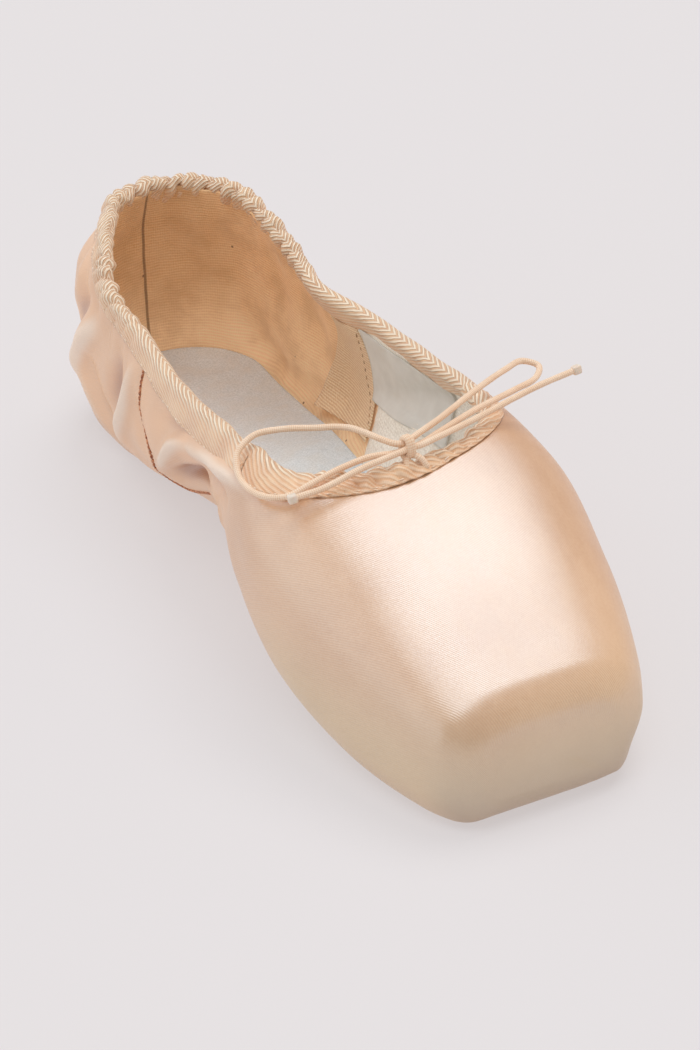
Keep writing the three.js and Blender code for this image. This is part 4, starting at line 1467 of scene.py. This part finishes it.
def wing_finish():
    finish = Finish("wing twill", Sheen_Weight=0.2)
    run, down = finish.weave()
    cloth, _ = ribbed_cotton(finish, run, down + run * 0.12, "D9AC80", "FFE8C6")
    finish.feed("Base Color", cloth)
    return finish.material


wing_cloth = wing_finish()
for side, word in SIDES:
    patch(f"wing_lining_{word}", side, 48, 40, wing_corner, wing_stand, wing_cloth, 0.45)
    inner_stitches(f"front_stitches_{word}", FRONT_LINE, side, 1.0)


# %% Blank label
def label_corner(s, t):
    front, back = 113 - 1.0 * t, 155.5 - 5.0 * t
    high = around_at_height((front + back) / 2, 47.5)
    low = 1.10 + 0.04 * s
    return front + (back - front) * s, high + (low - high) * t


def label_stand(s, t):
    return 0.95 + 0.35 * t * np.sin(s * 7 + 1) ** 2 + 0.8 * ease((0.12 - s) / 0.12) * t


def label_finish():
    finish = Finish("blank label")
    run, down = finish.weave()
    threads = (run * (TURN / 0.0004)).sine() * (down * (TURN / 0.0004)).sine() * 0.5 + 0.5
    cloud = finish.noise(5, 2)
    cloth = finish.blend(cloud, "DAD6CE", "F3F1EB")
    finish.feed("Base Color", finish.blend(threads * 0.15, cloth, "B9B4AB"))
    finish.feed("Roughness", 0.55 + cloud * 0.15)
    finish.bump(threads * 0.5 + cloud * 0.5, 0.08, 0.5)
    return finish.material


patch("care_label", 1, 48, 24, label_corner, label_stand, label_finish(), 0.25)

# %% [markdown]
# ## Insole
# The sock is a sheet of pale grey suede on a board. It lies on the inner bottom, dips a little
# along its middle and curls up at its edges. It could be cut from a flat outline, but it has to follow
# the arch and the heel, so it is laid out as two side grids, like the upper.

# %% Insole
INSOLE_FRONT, INSOLE_THICK, FIT_GAP = 15.0, 2.5, 0.3
INSOLE_TOP = SEAT + SOFT_WALL + FIT_GAP + INSOLE_THICK


def inside_half(along):
    """Half width inside the upper at the height of the insole's underside."""
    level = sole_line(station_of(along)) + INSOLE_TOP - INSOLE_THICK
    inner = lambda around: surface(along, around) - outward(along, around) * wall(along, around)[:, None]
    above = lambda around: inner(around)[:, 2] > level
    around, _ = halving(np.ones_like(along), np.full_like(along, 2.2), 30, above)
    x, y, _ = inner(around).T
    ray = np.hypot(x, (y - TOE_Y - HEEL_CENTRE) / (HEEL_DEPTH / half(HEEL_CENTRE)))
    return np.where(along < HEEL_CENTRE, x, ray)


def sock_side(side):
    rows = runs((INSOLE_FRONT, HEEL_CENTRE, 120, False), (HEEL_CENTRE, ALONG_END, 36, False))

    def shape(columns, _):
        wide = inside_half(rows) - 0.8
        share = np.linspace(0, 1, columns + 1) ** 0.85
        x = share[None, :] * wide[:, None]
        a = rows[:, None] * np.ones_like(share)
        rise = 0.9 * share[None, :] ** 6 - 0.4 * (1 - share[None, :] ** 2)
        z = sole_line(station_of(a)) + INSOLE_TOP + rise
        points = place(a, x, z) * mirror(side)
        points[..., 2] += 0.22 * waves(points[..., :2], 14, 51) + 0.1 * waves(points[..., :2], 5, 52)
        meet_at_middle(points, x, a)
        return points, points[..., :2].copy()

    return grid_mesh("sock", 34, len(rows) - 1, shape)


def suede_finish():
    finish = Finish("grey suede", Roughness=0.95, Sheen_Weight=0.35, Sheen_Roughness=0.6)
    nap = finish.noise(0.45, 4, 0.65)
    patchy = finish.noise(6, 3, 0.6)
    wide = finish.noise(28, 2)
    cloth = finish.blend(nap.step(0.25, 0.75), "C9D2D6", "F3FAFF")
    cloth = finish.blend(patchy.step(0.35, 0.7) * 0.35, cloth, "E2DDD4")
    finish.feed("Base Color", finish.blend(wide * 0.2, cloth, "D6D2CC"))
    finish.feed("Roughness", 0.85 + patchy * 0.13)
    finish.bump(nap * 0.7 + patchy * 0.3, 0.3, 0.8)
    return finish.material


sock = joined("suede_insole", [sock_side(side) for side, _ in SIDES])
face_away(sock, (0, 0, -300))
show("suede_insole", sock, suede_finish(), ["insole"], thick=2.0)


# %% [markdown]
# ## Outsole
# The outsole is one piece of leather, shorter and narrower than the shoe. A channel is cut near its
# edge for the stitches that hold it, and its edge is rounded. It could be an outline that is extruded
# and bevelled, but its section is the same everywhere, scaled to its width, so two side grids close
# into one solid with its channel.

# %% Outsole
SOLE_SECTION = [
    # share of the half width, less an inset in millimetres, at a height
    (0, 0, 2.2), (0.35, 0, 2.2), (0.7, 0, 2.2), (1, 1.5, 2.2), (1, 0.4, 2.2), (1, 0.12, 2.1),
    (1, 0, 1.9), (1, 0, 1.4), (1, 0.02, 0.95), (1, 0.15, 0.6), (1, 0.4, 0.3), (1, 0.7, 0.1),
    (1, 1.1, 0.02), (1, 1.9, 0), (1, 2.5, 0), (1, 2.75, 0.12), (1, 3.0, 0.42), (1, 3.2, 0.5),
    (1, 3.4, 0.42), (1, 3.65, 0.12), (1, 3.9, 0), (1, 4.6, 0), (0.66, 0, 0), (0.33, 0, 0), (0, 0, 0),
]


def sole_rows(start):
    """Rows of the outsole from start millimetres behind its front, closer together on its round."""
    front = SOLE_FRONT + start + (SOLE_ROUND - start) * np.linspace(0, 1, 30)[:-1] ** 2
    back = runs(
        (SOLE_FRONT + SOLE_ROUND, HEEL_CENTRE, 110, False), (HEEL_CENTRE, ALONG_END, 40, False)
    )
    return np.concatenate([front, back])


def sole_side(side):
    rows = sole_rows(0)
    share, inset, high = np.array(SOLE_SECTION, float).T

    def shape(columns, _):
        wide = outsole_half(rows)
        x = share[None, :] * np.maximum(wide[:, None] - inset[None, :], 0)
        a = np.maximum(rows, PLATFORM_EDGE)[:, None] * np.ones_like(share)
        z = sole_line(station_of(a)) + high[None, :]
        points = place(a, x, z) * mirror(side)
        meet_at_middle(points, x, a)
        return points, points[..., :2].copy()

    return grid_mesh("sole", len(SOLE_SECTION) - 1, len(rows) - 1, shape)


def leather_finish():
    finish = Finish("sole leather", IOR=1.5)
    grain = finish.noise(0.9, 4, 0.6)
    pores = finish.spots(1400.0)
    fibre = finish.noise(2.2, 3, stretch=(1, 0.2, 1))
    cloud = finish.noise(30, 3)
    hide = finish.blend((grain * 0.4 + fibre * 0.6).step(0.25, 0.75), "B98458", "DBAC7E")
    hide = finish.blend(cloud.step(0.35, 0.7) * 0.45, hide, "C08C5F")
    scuff = finish.noise(4, 5, 0.7, stretch=(1, 0.35, 1)).step(0.56, 0.7)
    finish.feed("Base Color", finish.blend(scuff * 0.25, hide, "E8C9A6"))
    finish.feed("Roughness", 0.5 + grain * 0.2 + scuff * 0.15)
    finish.bump(grain * 0.5 + fibre * 0.3 + pores * 0.3, 0.14, 0.7)
    return finish.material


sole = joined("leather_outsole", [sole_side(side) for side, _ in SIDES])
show("leather_outsole", sole, leather_finish(), ["outsole"])


# %% Sole stitches
CHANNEL_INSET, CHANNEL_HIGH = 3.2, 0.32
rows = sole_rows(4)
x = np.maximum(outsole_half(rows) - CHANNEL_INSET, 0.0)
right_half = place(rows, x, sole_line(station_of(rows)) + CHANNEL_HIGH)
round_sole = np.vstack([right_half * mirror(-1), right_half[::-1][1:]])
down = np.tile([0.0, 0.0, -1.0], (len(round_sole), 1))
stitch_row("sole_stitches", round_sole, down, 3.1, 2.3, 0.5, cotton_thread)

# %% [markdown]
# ## Floor and light
# The shoe stands on a plain pale floor, a white table that is lit a little from below as well, which
# keeps the shadows soft. Two broad lights from above give the satin its wide sheen. A very wide light
# from the left fills that flank, a weak warm one comes low from the right, and an even pale surround
# fills the rest.

# %% Floor
bm = bmesh.new()
bmesh.ops.create_grid(bm, x_segments=4, y_segments=4, size=6)
floor = bpy.data.objects.new("floor", as_mesh("floor", bm))
scene.collection.objects.link(floor)
pale_table = Finish(
    "floor", Roughness=0.9, Base_Color=paint("929091"), Specular_IOR_Level=0.0,
    Emission_Color=paint("FFFAFB"), Emission_Strength=0.495,
)
floor.data.materials.append(pale_table.material)
print("the floor is 12 m wide")


# %% Light
def sun(name, tilt, turn, strength, width, colour=(1, 1, 1)):
    """A broad far light. tilt is its angle from overhead and turn the side it comes from, in degrees."""
    data = bpy.data.lights.new(name, "SUN")
    data.energy, data.angle, data.color = strength, np.radians(width), colour
    lamp = bpy.data.objects.new(name, data)
    a, b = np.radians(tilt), np.radians(turn)
    towards = Vector((np.sin(a) * np.cos(b), np.sin(a) * np.sin(b), np.cos(a)))
    lamp.matrix_world = towards.to_track_quat("Z", "Y").to_matrix().to_4x4()
    scene.collection.objects.link(lamp)


sun("sheen", 25, 33, 1.0, 34)
sun("overhead", 16, 235, 0.66, 36)
sun("left fill", 86, 146, 1.5, 120)
sun("warm fill", 80, -20, 0.8, 90, (1, 0.66, 0.38))
world = bpy.data.worlds.new("surround")
world.use_nodes = True
world.node_tree.nodes["Background"].inputs["Color"].default_value = (0.34, 0.35, 0.365, 1)
scene.world = world
scene.view_settings.view_transform = "Standard"
print("lights:", *(light.name for light in bpy.data.lights))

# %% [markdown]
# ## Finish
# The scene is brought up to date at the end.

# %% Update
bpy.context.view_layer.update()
